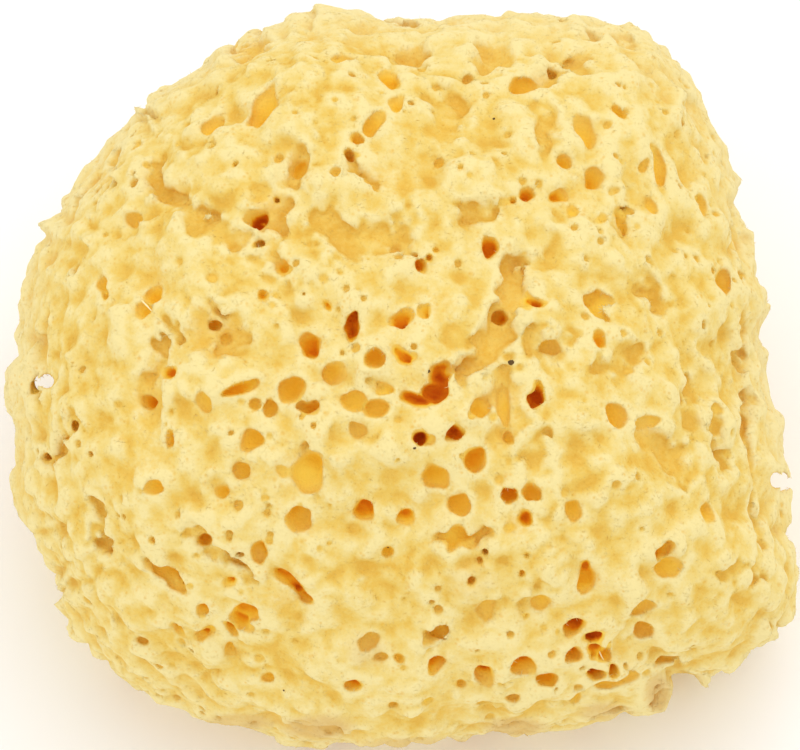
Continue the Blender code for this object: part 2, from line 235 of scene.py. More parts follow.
RIGHT_PORES: tuple[Pore, ...] = (
    Pore(624, 222, 8, 24, -12, 8, 1.2), Pore(601, 217, 7, 5, -25, 8, 0.5), Pore(660, 165, 7, 22, -8, 5),
    Pore(643, 163, 5, 8, 20, 4), Pore(653, 205, 6, 10, 0, 5), Pore(702, 204, 6, 10, -15, 5),
    Pore(723, 281, 9, 13, 15, 6), Pore(739, 277, 3, 4, 0, 5), Pore(597, 303, 14, 14, 0, 5, 1.2),
    Pore(596, 338, 7, 8, 0, 8), Pore(616, 416, 12, 12, 0, 6), Pore(647, 421, 14, 7, -20, 4),
    Pore(707, 513, 9, 9, 0, 6), Pore(663, 551, 10, 9, 0, 10, 0.5), Pore(671, 569, 12, 12, 0, 6),
    Pore(586, 582, 9, 13, 0, 9), Pore(586, 573, 6, 12, 0, 9), Pore(642, 610, 11, 11, 0, 7),
    Pore(645, 630, 10, 9, 0, 7), Pore(665, 658, 14, 6, 5, 3), Pore(691, 645, 3, 3, 0, 3),
    Pore(551, 349, 12, 8, 20, 2), Pore(505, 408, 8, 20, 0, 3),
)

BOTTOM_PORES: tuple[Pore, ...] = (
    Pore(574, 629, 9, 9, 0, 16), Pore(574, 653, 11, 7, 0, 10), Pore(592, 641, 6, 8, 25, 13, 0.6),
    Pore(598, 650, 6, 6, 0, 13, 0.6), Pore(600, 638, 2, 6, -10, 10), Pore(608, 655, 6, 8, -30, 13, 0.6),
    Pore(612, 668, 5, 8, 0, 11), Pore(596, 671, 7, 7, 0, 13), Pore(606, 684, 13, 7, 5, 6),
    Pore(628, 679, 12, 8, -35, 5), Pore(525, 668, 13, 12, 0, 14), Pore(545, 679, 10, 7, -30, 8),
    Pore(484, 678, 10, 14, 0, 13), Pore(437, 664, 8, 8, 0, 14), Pore(438, 633, 13, 10, -30, 7, 0.8),
    Pore(487, 612, 8, 12, 0, 3), Pore(429, 704, 5, 5, 0, 10), Pore(484, 703, 8, 4, 0, 6),
    Pore(512, 698, 8, 4, -10, 3), Pore(576, 700, 5, 9, 20, 5), Pore(352, 687, 9, 7, 0, 12),
    Pore(393, 708, 5, 5, 0, 9), Pore(367, 643, 10, 9, 0, 5), Pore(380, 660, 6, 6, 0, 5),
    Pore(396, 658, 5, 5, 0, 5), Pore(267, 679, 6, 5, 0, 6), Pore(260, 554, 7, 13, 20, 7),
    Pore(288, 580, 7, 12, -45, 12, 0.4), Pore(300, 592, 5, 9, -45, 12), Pore(308, 599, 8, 5, 0, 12),
    Pore(227, 581, 7, 4, -25, 13), Pore(246, 612, 11, 11, -20, 14), Pore(240, 619, 8, 8, 0, 11),
    Pore(232, 628, 5, 9, -25, 8), Pore(231, 650, 5, 9, 0, 6), Pore(203, 607, 7, 9, 0, 10),
    Pore(201, 635, 9, 4, -30, 11), Pore(208, 630, 5, 4, -30, 8), Pore(179, 633, 4, 13, -15, 9),
    Pore(170, 579, 11, 23, -45, 7, 1.0), Pore(143, 640, 5, 4, 0, 4), Pore(204, 541, 7, 7, 0, 4),
    Pore(527, 617, 2, 3, 0, 6), Pore(556, 630, 2, 3, 0, 6), Pore(459, 686, 4, 4, 0, 6),
    Pore(540, 602, 12, 8, 0, 3),
)

FURROWS: tuple[Furrow, ...] = (
    Furrow(12, 4.5, ((517, 272), (507, 300), (499, 335), (484, 360), (462, 372))),
    Furrow(9, 3.5, ((484, 357), (500, 350), (512, 338))),
    Furrow(14, 3.0, ((332, 222), (345, 245), (372, 240), (400, 232))),
    Furrow(12, 3.0, ((150, 172), (165, 195), (195, 215), (225, 232), (262, 244))),
    Furrow(17, 3.2, ((274, 208), (264, 222))),
    Furrow(16, 2.0, ((444, 128), (442, 104))),
    Furrow(17, 2.4, ((405, 55), (402, 66))),
    Furrow(20, 2.6, ((497, 45), (502, 57))),
    Furrow(13, 2.8, ((578, 60), (583, 70))),
    Furrow(9, 2.5, ((595, 40), (625, 42))),
    Furrow(10, 3.0, ((552, 68), (535, 82))),
    Furrow(13, 2.5, ((548, 113), (546, 124))),
    Furrow(10, 3.0, ((474, 208), (493, 210))),
    Furrow(12, 2.0, ((405, 232), (404, 215))),
    Furrow(17, 2.8, ((205, 322), (220, 334))),
    Furrow(13, 3.0, ((150, 384), (156, 402))),
    Furrow(8, 3.2, ((75, 424), (62, 440), (48, 458))),
    Furrow(9, 2.6, ((33, 380), (36, 392))),
    Furrow(8, 3.4, ((199, 538), (222, 552), (247, 566))),
    Furrow(9, 3.0, ((99, 512), (101, 540))),
    Furrow(11, 2.0, ((504, 382), (506, 430))),
    Furrow(10, 2.0, ((540, 445), (538, 462))),
    Furrow(13, 3.4, ((652, 440), (682, 458))),
    Furrow(12, 2.6, ((684, 468), (688, 480))),
    Furrow(6, 3.0, ((708, 408), (714, 445))),
    Furrow(7, 2.8, ((722, 445), (726, 460))),
    Furrow(9, 4.0, ((746, 398), (752, 452))),
    Furrow(8, 3.2, ((754, 503), (758, 535))),
    Furrow(8, 2.0, ((725, 562), (745, 572), (757, 578))),
    Furrow(10, 2.6, ((650, 297), (655, 299))),
    Furrow(14, 2.6, ((610, 362), (628, 357))),
    Furrow(12, 2.4, ((556, 350), (560, 348))),
    Furrow(9, 2.0, ((698, 145), (700, 150))),
    Furrow(13, 2.0, ((737, 232), (736, 242))),
    Furrow(9, 2.4, ((742, 332), (742, 352))),
    Furrow(8, 2.2, ((688, 385), (689, 388))),
    Furrow(15, 2.0, ((540, 595), (542, 604))),
    Furrow(15, 3.0, ((300, 727), (332, 731))),
    Furrow(9, 3.0, ((505, 727), (528, 725))),
    Furrow(8, 3.6, ((592, 716), (618, 706))),
    Furrow(9, 4.5, ((655, 685), (661, 702))),
    Furrow(8, 2.4, ((117, 150), (107, 184))),
    Furrow(8, 2.2, ((87, 190), (80, 205))),
    Furrow(7, 2.8, ((69, 268), (70, 274))),
    Furrow(8, 2.6, ((150, 345), (150, 360))),
    Furrow(7, 3.0, ((349, 150), (352, 168), (372, 172))),
    Furrow(10, 2.4, ((540, 330), (536, 345))),
    Furrow(7, 2.4, ((252, 246), (270, 262))),
    Furrow(9, 3.0, ((300, 160), (292, 178))),
    Furrow(6, 2.6, ((160, 318), (176, 345))),
)

# Golden places, mostly in the furrows and hollows: partly the sponge's own stain, partly painted shade.
GOLDEN_PATCHES: tuple[Patch, ...] = (
    Patch(200, 212, 62, 30, 0.9), Patch(345, 235, 52, 20, 0.9), Patch(442, 118, 30, 45, 0.7),
    Patch(410, 215, 30, 16, 0.7), Patch(500, 345, 40, 42, 0.9), Patch(330, 255, 30, 14, 0.6),
    Patch(58, 335, 34, 22, 0.7), Patch(72, 440, 30, 36, 0.6), Patch(112, 395, 40, 30, 0.4),
    Patch(600, 472, 56, 20, 0.7), Patch(680, 462, 44, 36, 0.7), Patch(490, 572, 56, 30, 0.7),
    Patch(545, 612, 60, 30, 0.6), Patch(330, 572, 50, 34, 0.3), Patch(225, 555, 48, 26, 0.7),
    Patch(280, 655, 62, 20, 0.6), Patch(100, 528, 36, 24, 0.7), Patch(400, 560, 30, 22, 0.4),
    Patch(620, 362, 34, 20, 0.7), Patch(590, 312, 26, 34, 0.5), Patch(735, 585, 36, 16, 0.6),
    Patch(560, 330, 26, 26, 0.4), Patch(520, 420, 22, 44, 0.6), Patch(640, 300, 40, 16, 0.3),
    Patch(300, 130, 36, 30, 0.3), Patch(180, 160, 40, 30, 0.3), Patch(180, 660, 40, 24, 0.4),
)

# Painted shade where the face turns under along its bottom edge, and in a few low hollows.
UNDERSIDE_SHADE_PATCHES: tuple[Patch, ...] = (
    Patch(318, 727, 32, 12, 1.0), Patch(514, 727, 30, 9, 1.0), Patch(604, 712, 24, 9, 0.8),
    Patch(658, 693, 12, 18, 1.0), Patch(240, 722, 34, 8, 0.8), Patch(425, 745, 70, 7, 0.7),
    Patch(366, 650, 18, 16, 0.4), Patch(468, 580, 24, 18, 0.2),
)


def smooth_max(first: Array, second: Array, blend: float) -> Array:
    """The greater of two fields, rounded off where they meet.

    Args:
        first: A field.
        second: Another of the same shape.
        blend: How wide the rounding is.

    Returns:
        The blended field.
    """
    near = np.maximum(blend - np.abs(first - second), 0) / blend
    return np.maximum(first, second) + near * near * (blend / 4)


class DirectionMap:
    """A value for each direction from the middle, kept for even turns round the out axis and tilts off it."""

    TURNS = 720
    TILTS = 361

    def __init__(self) -> None:
        """Lays out the directions. The values are set afterwards, one for each."""
        turn = np.arange(self.TURNS) * (math.tau / self.TURNS)
        tilt = np.arange(self.TILTS) * (math.pi / (self.TILTS - 1))
        turns, tilts = np.meshgrid(turn, tilt, indexing="ij")
        across = np.sin(tilts)
        self.directions = np.stack(
            [across * np.cos(turns), across * np.sin(turns), np.cos(tilts)], axis=-1
        ).reshape(-1, 3)
        self.values = np.zeros((self.TURNS, self.TILTS), np.float32)

    def fill(self, values: Array) -> None:
        """Takes one value for each of its directions, in their order."""
        self.values = values.reshape(self.TURNS, self.TILTS).astype(np.float32)

    def read(self, points: Array) -> Array:
        """The values in the directions of some points.

        Args:
            points: Points in face axes, one a row.

        Returns:
            A value for each point, blended from the four nearest directions.
        """
        across = np.hypot(points[:, 0], points[:, 1])
        turn = (np.arctan2(points[:, 1], points[:, 0]) % math.tau) * (self.TURNS / math.tau)
        tilt = np.arctan2(across, points[:, 2]) * ((self.TILTS - 1) / math.pi)
        row = np.floor(turn).astype(np.int32)
        column = np.minimum(np.floor(tilt).astype(np.int32), self.TILTS - 2)
        row_share = turn - row
        column_share = tilt - column
        row %= self.TURNS
        below = (row + 1) % self.TURNS
        near = self.values[row, column] * (1 - row_share) + self.values[below, column] * row_share
        far = self.values[row, column + 1] * (1 - row_share) + self.values[below, column + 1] * row_share
        return near * (1 - column_share) + far * column_share


@dataclass
class Dome:
    """The sponge's form without furrows and pores: how far it reaches from its middle in each direction."""

    face: Face
    face_reach: float = 51.0
    back_reach: float = 56.0
    squareness: float = 2.25
    swell_seed: int = 7
    swell_waves: int = 14
    swell_height: float = 0.7
    swell_turns: tuple[float, float] = (4.0, 9.0)
    knob_seed: int = 11
    knobs: int = 330
    knob_heights: tuple[float, float] = (0.6, 2.4)
    knob_radius: float = 5.5
    knob_scatter: float = 0.06
    outline_blur: float = math.radians(3)
    rim_tilt: float = 0.085
    rim_band: float = 0.13
    growth_band: float = 0.32
    notch_band: float = 0.4
    rim_trim: float = 0.75
    sight_rounds: int = 10
    hull: DirectionMap = field(default_factory=DirectionMap)
    furrowed: DirectionMap = field(default_factory=DirectionMap)

    def __post_init__(self) -> None:
        """Works out the outline, then the map of the whole form."""
        self.fine_rim, self.soft_rim = self._rims()
        self.hull.fill(self.radii(self.hull.directions))

    def _rims(self) -> tuple[Array, Array]:
        """The outline's distance from the middle for even turns.

        Returns:
            The outline as drawn, and the same smoothed over outline_blur.
        """
        across, down = np.array(OUTLINE, float).T
        right = across - self.face.picture_middle[0]
        up = self.face.picture_middle[1] - down
        angles = np.arctan2(up, right) % math.tau
        order = np.argsort(angles)
        reach = np.hypot(right, up)[order] * self.face.pixel
        steps = np.arange(DirectionMap.TURNS) * (math.tau / DirectionMap.TURNS)
        fine = np.interp(steps, angles[order], reach, period=math.tau)
        fine /= np.sqrt(1 + (fine / self.face.eye_distance) ** 2)
        turn = (steps[:, None] - steps[None, :] + math.pi) % math.tau - math.pi
        weight = np.exp(-((turn / self.outline_blur) ** 2))
        return fine, weight @ fine / weight.sum(axis=1)

    def _swells(self, world: Array) -> Array:
        """Broad swells: a seeded sum of slow waves over the sphere of directions."""
        rule = random.Random(self.swell_seed)
        height = np.zeros(len(world))
        for _ in range(self.swell_waves):
            wave = Vector([rule.gauss(0, 1) for _ in range(3)]).normalized() * rule.uniform(*self.swell_turns)
            height += self.swell_height * np.sin(world @ np.array(wave) + rule.uniform(0, math.tau))
        return height

    def _knobs(self, world: Array) -> Array:
        """Rounded knobs with creases between them, scattered a little off an even spiral over the sphere."""
        rule = random.Random(self.knob_seed)
        height = np.zeros(len(world))
        golden_turn = math.pi * (3 - math.sqrt(5))
        for index in range(self.knobs):
            level = 1 - (2 * index + 1) / self.knobs
            turn = index * golden_turn
            ring = math.sqrt(1 - level * level)
            top = Vector((ring * math.cos(turn), ring * math.sin(turn), level))
            top = (top + Vector([rule.gauss(0, self.knob_scatter) for _ in range(3)])).normalized()
            spread = (self.face.width / 2) ** 2 * (2 - 2 * (world @ np.array(top)))
            knob = rule.uniform(*self.knob_heights) * np.exp(-spread / self.knob_radius**2)
            height = np.maximum(height, knob)
        return height

    def radii(self, turned: Array) -> Array:
        """How far the dome reaches.

        Args:
            turned: Directions in face axes, one a row.

        Returns:
            The distance from the middle for each of them.
        """
        out = turned[:, 2]
        across = np.hypot(turned[:, 0], turned[:, 1])
        angle = np.arctan2(turned[:, 1], turned[:, 0])
        steps = np.arange(DirectionMap.TURNS) * (math.tau / DirectionMap.TURNS)
        fine = np.interp(angle, steps, self.fine_rim, period=math.tau)
        soft = np.interp(angle, steps, self.soft_rim, period=math.tau)
        edge = fine - soft
        band = np.where(edge < 0, self.notch_band, self.rim_band)
        at_rim = np.exp(-(((out - self.rim_tilt) / band) ** 2))
        reach = np.where(out > 0, self.face_reach, self.back_reach)
        total = (across / soft) ** self.squareness + (np.abs(out) / reach) ** self.squareness
        world = turned @ self.face.axes
        growth = self._swells(world) + self._knobs(world)
        grown = 1 - np.exp(-(((out - self.rim_tilt) / self.growth_band) ** 2))
        trim = self.rim_trim * np.exp(-(((out - self.rim_tilt) / self.notch_band) ** 2))
        return total ** (-1 / self.squareness) + growth * grown + edge * at_rim - trim

    def spot(self, across: float, down: float) -> Array:
        """The point of the dome that the photograph shows at a pixel.

        Args:
            across: Pixels from the picture's left.
            down: Pixels from its top.

        Returns:
            The point in face axes.
        """
        middle = self.face.picture_middle
        flat = np.array([across - middle[0], middle[1] - down]) * self.face.pixel
        height = 0.0
        point = np.zeros(3)
        for _ in range(self.sight_rounds):
            right, up = flat * (1 - height / self.face.eye_distance)
            direction = np.array([right, up, max(height, 1.0)])
            direction /= np.linalg.norm(direction)
            radius = float(self.hull.read(direction[None])[0])
            height = (height + math.sqrt(max(radius**2 - right**2 - up**2, 0.0))) / 2
            point = np.array([right, up, height])
        return point

    def cut_furrows(self, furrows: Sequence[tuple[float, float, Array]]) -> None:
        """Works out the map of how deep the furrows lie below the dome.

        Args:
            furrows: For each its half width, its depth and the points of its line in face axes.
        """
        points = self.hull.directions * self.hull.values.reshape(-1, 1)
        depths = np.zeros(len(points))
        for half_width, depth, line in furrows:
            reach = half_width * 2.2
            close = np.linalg.norm(points - line.mean(axis=0), axis=1) < reach + np.ptp(line, axis=0).sum()
            near = points[close]
            nearest = np.full(len(near), np.inf)
            for start, end in zip(line, line[1:]):
                run = end - start
                share = np.clip((near - start) @ run / max(run @ run, 1e-6), 0, 1)
                nearest = np.minimum(nearest, np.linalg.norm(near - start - share[:, None] * run, axis=1))
            slope = np.clip((1.55 - nearest / half_width) / 1.1, 0, 1)
            depths[close] = np.maximum(depths[close], depth * slope * slope * (3 - 2 * slope))
        self.furrowed.fill(depths)


class Field:
    """Distances from the skin on an even grid, below zero inside the sponge."""

    FAR = 3.0

    def __init__(self, low: Sequence[float], high: Sequence[float], step: float) -> None:
        """An empty field.

        Args:
            low: The grid's lowest corner.
            high: Its highest corner, at least.
            step: The distance between its points.
        """
        self.low = np.array(low, float)
        self.step = step
        self.axes = [np.arange(a, b, step, dtype=np.float32) for a, b in zip(low, high)]
        self.shape = tuple(len(axis) for axis in self.axes)
        self.distance = np.full(self.shape, self.FAR, np.float32)

    def noise(self, spacing: float, rule: np.random.Generator) -> Array:
        """Smooth noise that averages 0 with a spread of 1.

        Args:
            spacing: The distance between its independent values.
            rule: Where they are drawn from.

        Returns:
            Its value at each point of the grid.
        """
        matrices = []
        for axis in self.axes:
            place = (axis - axis[0]) / spacing
            cell = np.floor(place).astype(int)
            share = place - cell
            weights = np.zeros((len(axis), cell[-1] + 4), np.float32)
            rows = np.arange(len(axis))
            weights[rows, cell] = (1 - share) ** 3 / 6
            weights[rows, cell + 1] = (3 * share**3 - 6 * share**2 + 4) / 6
            weights[rows, cell + 2] = (-3 * share**3 + 3 * share**2 + 3 * share + 1) / 6
            weights[rows, cell + 3] = share**3 / 6
            matrices.append(weights)
        values = rule.uniform(-1, 1, [m.shape[1] for m in matrices]).astype(np.float32)
        values = np.tensordot(matrices[0], values, axes=(1, 0))
        values = matrices[1] @ values
        values = values @ matrices[2].T
        return values / np.float32(values.std())

    def window(self, low: Array, high: Array) -> Window:
        """The part of the grid inside a box.

        Args:
            low: The box's lowest corner.
            high: Its highest corner.

        Returns:
            A slice for each axis.
        """
        first = np.clip(np.floor((low - self.low) / self.step).astype(int), 0, self.shape)
        last = np.clip(np.ceil((high - self.low) / self.step).astype(int) + 1, 0, self.shape)
        return tuple(slice(a, b) for a, b in zip(first, last))

    def points(self, window: Window) -> Array:
        """The grid's points in a window, one a row."""
        axes = [axis[part] for axis, part in zip(self.axes, window)]
        return np.stack(np.meshgrid(*axes, indexing="ij"), axis=-1).reshape(-1, 3)

    def carve(self, window: Window, hole: Array, blend: float) -> None:
        """Cuts a hole out of the sponge.

        Args:
            window: The part of the grid that it lies in.
            hole: Distances from the hole's wall at the window's points, below zero inside the hole.
            blend: How round its rim is.
        """
        part = self.distance[window]
        self.distance[window] = smooth_max(part, -hole.reshape(part.shape), blend)

    def sample(self, values: Array, points: Array) -> Array:
        """Values of the grid between its points.

        Args:
            values: One value for each point of the grid.
            points: Where to read them, one a row.

        Returns:
            The blended values.
        """
        place = (points - self.low) / self.step
        cell = np.clip(np.floor(place).astype(int), 0, np.array(self.shape) - 2)
        share = place - cell
        total = np.zeros(len(points))
        for corner in np.ndindex(2, 2, 2):
            weight = np.prod(np.where(corner, share, 1 - share), axis=1)
            total += weight * values[tuple((cell + corner).T)]
        return total

    def blurred(self, reach: int) -> Array:
        """The distances, each averaged over a cube of 2 * reach + 1 points a side."""
        values = self.distance
        for axis in range(3):
            sums = np.cumsum(values, axis=axis, dtype=np.float32)
            ahead = np.minimum(np.arange(self.shape[axis]) + reach, self.shape[axis] - 1)
            behind = np.maximum(np.arange(self.shape[axis]) - reach - 1, 0)
            values = (np.take(sums, ahead, axis) - np.take(sums, behind, axis)) / (2 * reach + 1)
        return values

    def surface(self) -> tuple[Array, Array]:
        """The skin: the largest closed surface where the distance is zero.

        Returns:
            Its points, and its triangles as rows of three point numbers.
        """
        grid = openvdb.FloatGrid(background=self.FAR)
        grid.copyFromArray(self.distance)
        points, triangles, quads = grid.convertToPolygons(isovalue=0.0, adaptivity=0.0)
        halves = [triangles, quads[:, [0, 1, 2]], quads[:, [0, 2, 3]]]
        triangles = np.concatenate(halves).astype(np.int64)
        keep = self._largest_body(len(points), triangles)
        used = np.flatnonzero(keep)
        renumber = np.full(len(points), -1)
        renumber[used] = np.arange(len(used))
        triangles = renumber[triangles[keep[triangles[:, 0]]]]
        return self.low + points[used] * self.step, triangles[:, ::-1]

    @staticmethod
    def _largest_body(count: int, triangles: Array) -> Array:
        """Which points belong to the body with the most points.

        Args:
            count: How many points there are.
            triangles: Rows of three point numbers.

        Returns:
            True for each point of that body.
        """
        label = np.arange(count)
        while True:
            before = label.copy()
            lowest = label[triangles].min(axis=1)
            for corner in range(3):
                np.minimum.at(label, triangles[:, corner], lowest)
            label = label[label]
            label = label[label]
            if np.array_equal(before, label):
                break
        return label == np.bincount(label).argmax()


@dataclass
class Skin:
    """The sponge's whole surface, with its furrows, pores and crumbs."""

    face: Face
    dome: Dome
    seed: int = 5
    step: float = 0.45
    room: float = 3.0
    band: float = 6.5
    coarse: int = 4
    warp: tuple[float, float] = (0.42, 2.2)
    ragged: tuple[float, float] = (0.65, 2.8)
    tooth: tuple[float, float] = (0.55, 1.0)
    lumps: tuple[float, float] = (0.24, 3.2)
    crumbs: tuple[float, float] = (0.22, 1.5)
    grain: tuple[float, float] = (0.06, 0.9)
    rim_blend: float = 0.4
    known_depth: float = 2.7
    torn: tuple[float, float] = (0.45, 1.15)
    face_lean: float = 0.78
    lead: float = 4.5
    furrow_share: float = 0.62
    pore_floor: tuple[float, float] = (1.0, 0.27)
    most_narrow: tuple[float, float] = (0.6, 1.4)
    most_triangles: int = 197_000
    back_triangles: int = 46_000
    lining_depth: float = 0.05
    rim_rings: int = 2
    pinholes: int = 1100
    hidden_seed: int = 23
    hidden_radius: tuple[float, float] = (1.6, 2.6)
    hidden_depth: tuple[float, float] = (5.0, 10.0)
    hidden_gap: float = 10.0
    back_pores: int = 40
    back_start: float = 0.06
    back_low: float = 10.0
    foot_pores: int = 9
    foot_ring: tuple[float, float] = (12.0, 36.0)
    small_back_pores: int = 150
    small_foot_pores: int = 90
    back_furrows: int = 60
    through_holes: tuple[tuple[float, float, float, float], ...] = ((47, 381, 7, 7), (776, 480, 6, 8))

    def build(self) -> list[bpy.types.Object]:
        """Draws the skin.

        Returns:
            The outer skin and the linings of the pores, which meet at the pores' rims, with what the finish
            needs stored on their points.
        """
        rule = np.random.default_rng(self.seed)
        self._furrow()
        low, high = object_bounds()
        corner = Vector((self.room,) * 3)
        self.field = Field(low / MM - corner, high / MM + corner, self.step)
        self.small_warp = [self.field.noise(self.warp[1], rule) * self.warp[0] for _ in range(3)]
        self._grow(rule)
        log.info("body grown on a grid of %s", self.field.shape)
        self.uncut = self.field.distance.copy()
        # How much deeper each place of a pore is coloured than it is cut, so that a pore cut short gets the
        # colour, partly painted shade, of its full depth.
        self.colour_depth_scale = np.ones(self.field.shape, np.float32)
        self.torn_warp = [self.field.noise(self.torn[1], rule) * self.torn[0] for _ in range(3)]
        self._cut_face_pores()
        self._cut_hidden_pores()
        self._cut_pinholes()
        self._cut_through_holes()
        level = self.field.axes[2][None, None, :]
        self.field.distance = smooth_max(self.field.distance, -level, self.rim_blend / 2)
        points, triangles = self.field.surface()
        log.info("surface of %d triangles", len(triangles))
        return self._thinned(points, triangles)

    def _furrow(self) -> None:
        """Lays the furrows of the face, and seeded ones on the back, over the dome."""
        pixel = self.face.pixel
        laid = []
        for furrow in FURROWS:
            line = np.array([self.dome.spot(*stop) for stop in furrow.line])
            laid.append((furrow.half_width * pixel, furrow.depth * self.furrow_share, line))
        rule = random.Random(self.seed)
        while len(laid) < len(FURROWS) + self.back_furrows:
            start = Vector([rule.gauss(0, 1) for _ in range(3)]).normalized()
            heading = start.cross(Vector([rule.gauss(0, 1) for _ in range(3)])).normalized()
            length = rule.uniform(0.02, 0.3)
            stops = np.array([start, start + heading * length, start + heading * length * 2])
            size = rule.uniform(1.4, 3.0), rule.uniform(1.8, 4.0)
            if start.z > -self.back_start:
                continue
            stops /= np.linalg.norm(stops, axis=1)[:, None]
            laid.append((*size, stops * self.dome.hull.read(stops)[:, None]))
        self.dome.cut_furrows(laid)

    def _grow(self, rule: np.random.Generator) -> None:
        """Fills the field with the dome, its furrows and its crumbs."""
        field = self.field
        thin = [axis[:: self.coarse] for axis in field.axes]
        rough = np.stack(np.meshgrid(*thin, indexing="ij"), axis=-1).reshape(-1, 3)
        turned = self.face.turned(rough)
        gap = np.linalg.norm(turned, axis=1) - self.dome.hull.read(turned)
        gap = gap.reshape([len(axis) for axis in thin])
        for axis in range(3):
            gap = np.repeat(gap, self.coarse, axis=axis)
        gap = gap[tuple(slice(0, size) for size in field.shape)]
        field.distance[gap < 0] = -Field.FAR
        near = np.nonzero(np.abs(gap) < self.band)
        place = np.stack([axis[index] for axis, index in zip(field.axes, near)], axis=1)
        shifted = place + np.stack([warp[near] for warp in self.small_warp], axis=1)
        torn = place
        for height, length in (self.ragged, self.tooth):
            torn = torn + np.stack([field.noise(length, rule)[near] * height for _ in range(3)], axis=1)
        shifted = self.face.turned(shifted)
        radius = np.linalg.norm(shifted, axis=1)
        height = radius - self.dome.hull.read(shifted) + self.dome.furrowed.read(self.face.turned(torn))
        away = 1 - 0.6 * np.exp(-((shifted[:, 2] / radius / self.dome.rim_band) ** 2))
        lumps = field.noise(self.lumps[1], rule)[near] * self.lumps[0]
        crumbs = np.abs(field.noise(self.crumbs[1], rule)[near]) * self.crumbs[0]
        grain = field.noise(self.grain[1], rule)[near] * self.grain[0]
        height -= (lumps + crumbs) * away + grain
        field.distance[near] = np.clip(height, -Field.FAR, Field.FAR)

    def _tube(
        self,
        rule: random.Random,
        mouth: Array,
        inward: Array,
        sides: tuple[Array, Array],
        radii: tuple[float, float],
        depth: float,
        torn: float = 0.0,
    ) -> tuple[Window, Array]:
        """A pore's hole.

        Args:
            rule: Where its uneven rim is drawn from.
            mouth: The middle of its mouth, in face axes.
            inward: The direction that it runs in.
            sides: The two directions of its oval section.
            radii: Its half widths along them.
            depth: How deep it goes.
            torn: How torn its rim is.

        Returns:
            The window that it lies in, and its distances there.
        """
        least, part = self.pore_floor
        furrow = float(self.dome.furrowed.read(mouth[None])[0])
        floor, slim = self.most_narrow
        full = furrow + least + part * depth
        depth = min(full, furrow + floor + slim * min(radii))
        spread = max(radii) * 1.5 + 1.5
        ends = self.face.world(np.array([mouth - inward * self.lead, mouth + inward * (depth + 1)]))
        window = self.field.window(ends.min(axis=0) - spread, ends.max(axis=0) + spread)
        points = self.field.points(window)
        points = points + np.stack([warp[window].reshape(-1) for warp in self.small_warp], axis=1) * 0.6
        if torn:
            points = points + np.stack([warp[window].reshape(-1) for warp in self.torn_warp], axis=1) * torn
        offset = self.face.turned(points) - mouth
        normal = np.cross(*sides)
        along = offset @ normal / (inward @ normal)
        flat = offset - along[:, None] * inward
        first = flat @ sides[0] / radii[0]
        second = flat @ sides[1] / radii[1]
        turn = np.arctan2(second, first)
        lobes = sum(
            rule.uniform(0.02, 0.07) * np.sin(count * turn + rule.uniform(0, math.tau)) for count in (2, 3, 5)
        )
        share = np.clip(along / depth, 0, 1)
        narrowing = 1.04 - 0.16 * share + 0.5 * np.clip(-along / 4, 0, 1) * 0.2
        wall = (np.hypot(first, second) / (narrowing * (1 + lobes)) - 1) * min(radii)
        hole = smooth_max(wall, along - depth, min(1.2, min(radii)))
        # Marks the hole so that its colour, partly painted shade, follows its full depth.
        colour_depth_scale = self.colour_depth_scale[window]
        colour_depth_scale[hole.reshape(colour_depth_scale.shape) < 0.3] = full / depth
        return window, hole

    def _cut_face_pores(self) -> None:
        """Cuts the pores that the photograph shows."""
        rule = random.Random(self.seed)
        for pore in [*MIDDLE_PORES, *LEFT_PORES, *TOP_PORES, *RIGHT_PORES, *BOTTOM_PORES]:
            mouth = self.dome.spot(pore.across, pore.down)
            scale = self.face.pixel * (1 - mouth[2] / self.face.eye_distance)
            outward = mouth / np.linalg.norm(mouth)
            inward = -(outward * (1 - self.face_lean) + np.array([0, 0, 1]) * self.face_lean)
            inward /= np.linalg.norm(inward)
            angle = math.radians(-pore.turn)
            sides = (
                np.array([math.cos(angle), math.sin(angle), 0]),
                np.array([-math.sin(angle), math.cos(angle), 0]),
            )
            radii = pore.half_width * scale, pore.half_height * scale
            hole = self._tube(rule, mouth, inward, sides, radii, pore.depth, pore.torn)
            self.field.carve(*hole, self.rim_blend)

    def _hidden_mouths(self) -> list[tuple[Vector, Vector, float, float]]:
        """The pores of the back and the foot that the solid has too, by the same seeded rule.

        Returns:
            For each its mouth and outward direction in the sponge's frame, its radius and its depth.
        """
        found: list[tuple[Vector, Vector, float, float]] = []
        rule = random.Random(self.hidden_seed)
        middle = Vector(self.face.middle)
        out = Vector(self.face.axes[2])
        while len(found) < self.back_pores:
            direction = Vector([rule.gauss(0, 1) for _ in range(3)]).normalized()
            turned = self.face.axes @ np.array(direction)
            mouth = middle + direction * float(self.dome.hull.read(turned[None])[0])
            crowded = any((mouth - other[0]).length < self.hidden_gap for other in found)
            if direction.dot(out) > -self.back_start or crowded or mouth.z < self.back_low:
                continue
            radius = rule.uniform(*self.hidden_radius)
            found.append((mouth, direction, radius, rule.uniform(*self.hidden_depth)))
        rule = random.Random(self.hidden_seed + 1)
        inner, outer = self.foot_ring
        foot: list[tuple[Vector, Vector, float, float]] = []
        while len(foot) < self.foot_pores:
            mouth = Vector((rule.uniform(-outer, outer), rule.uniform(-outer, outer), 0.0))
            crowded = any((mouth - other[0]).length < self.hidden_gap for other in foot)
            if crowded or not inner < mouth.length < outer:
                continue
            size = rule.uniform(*self.hidden_radius), rule.uniform(*self.hidden_depth)
            foot.append((mouth, Vector((0, 0, -1)), *size))
        return found + foot

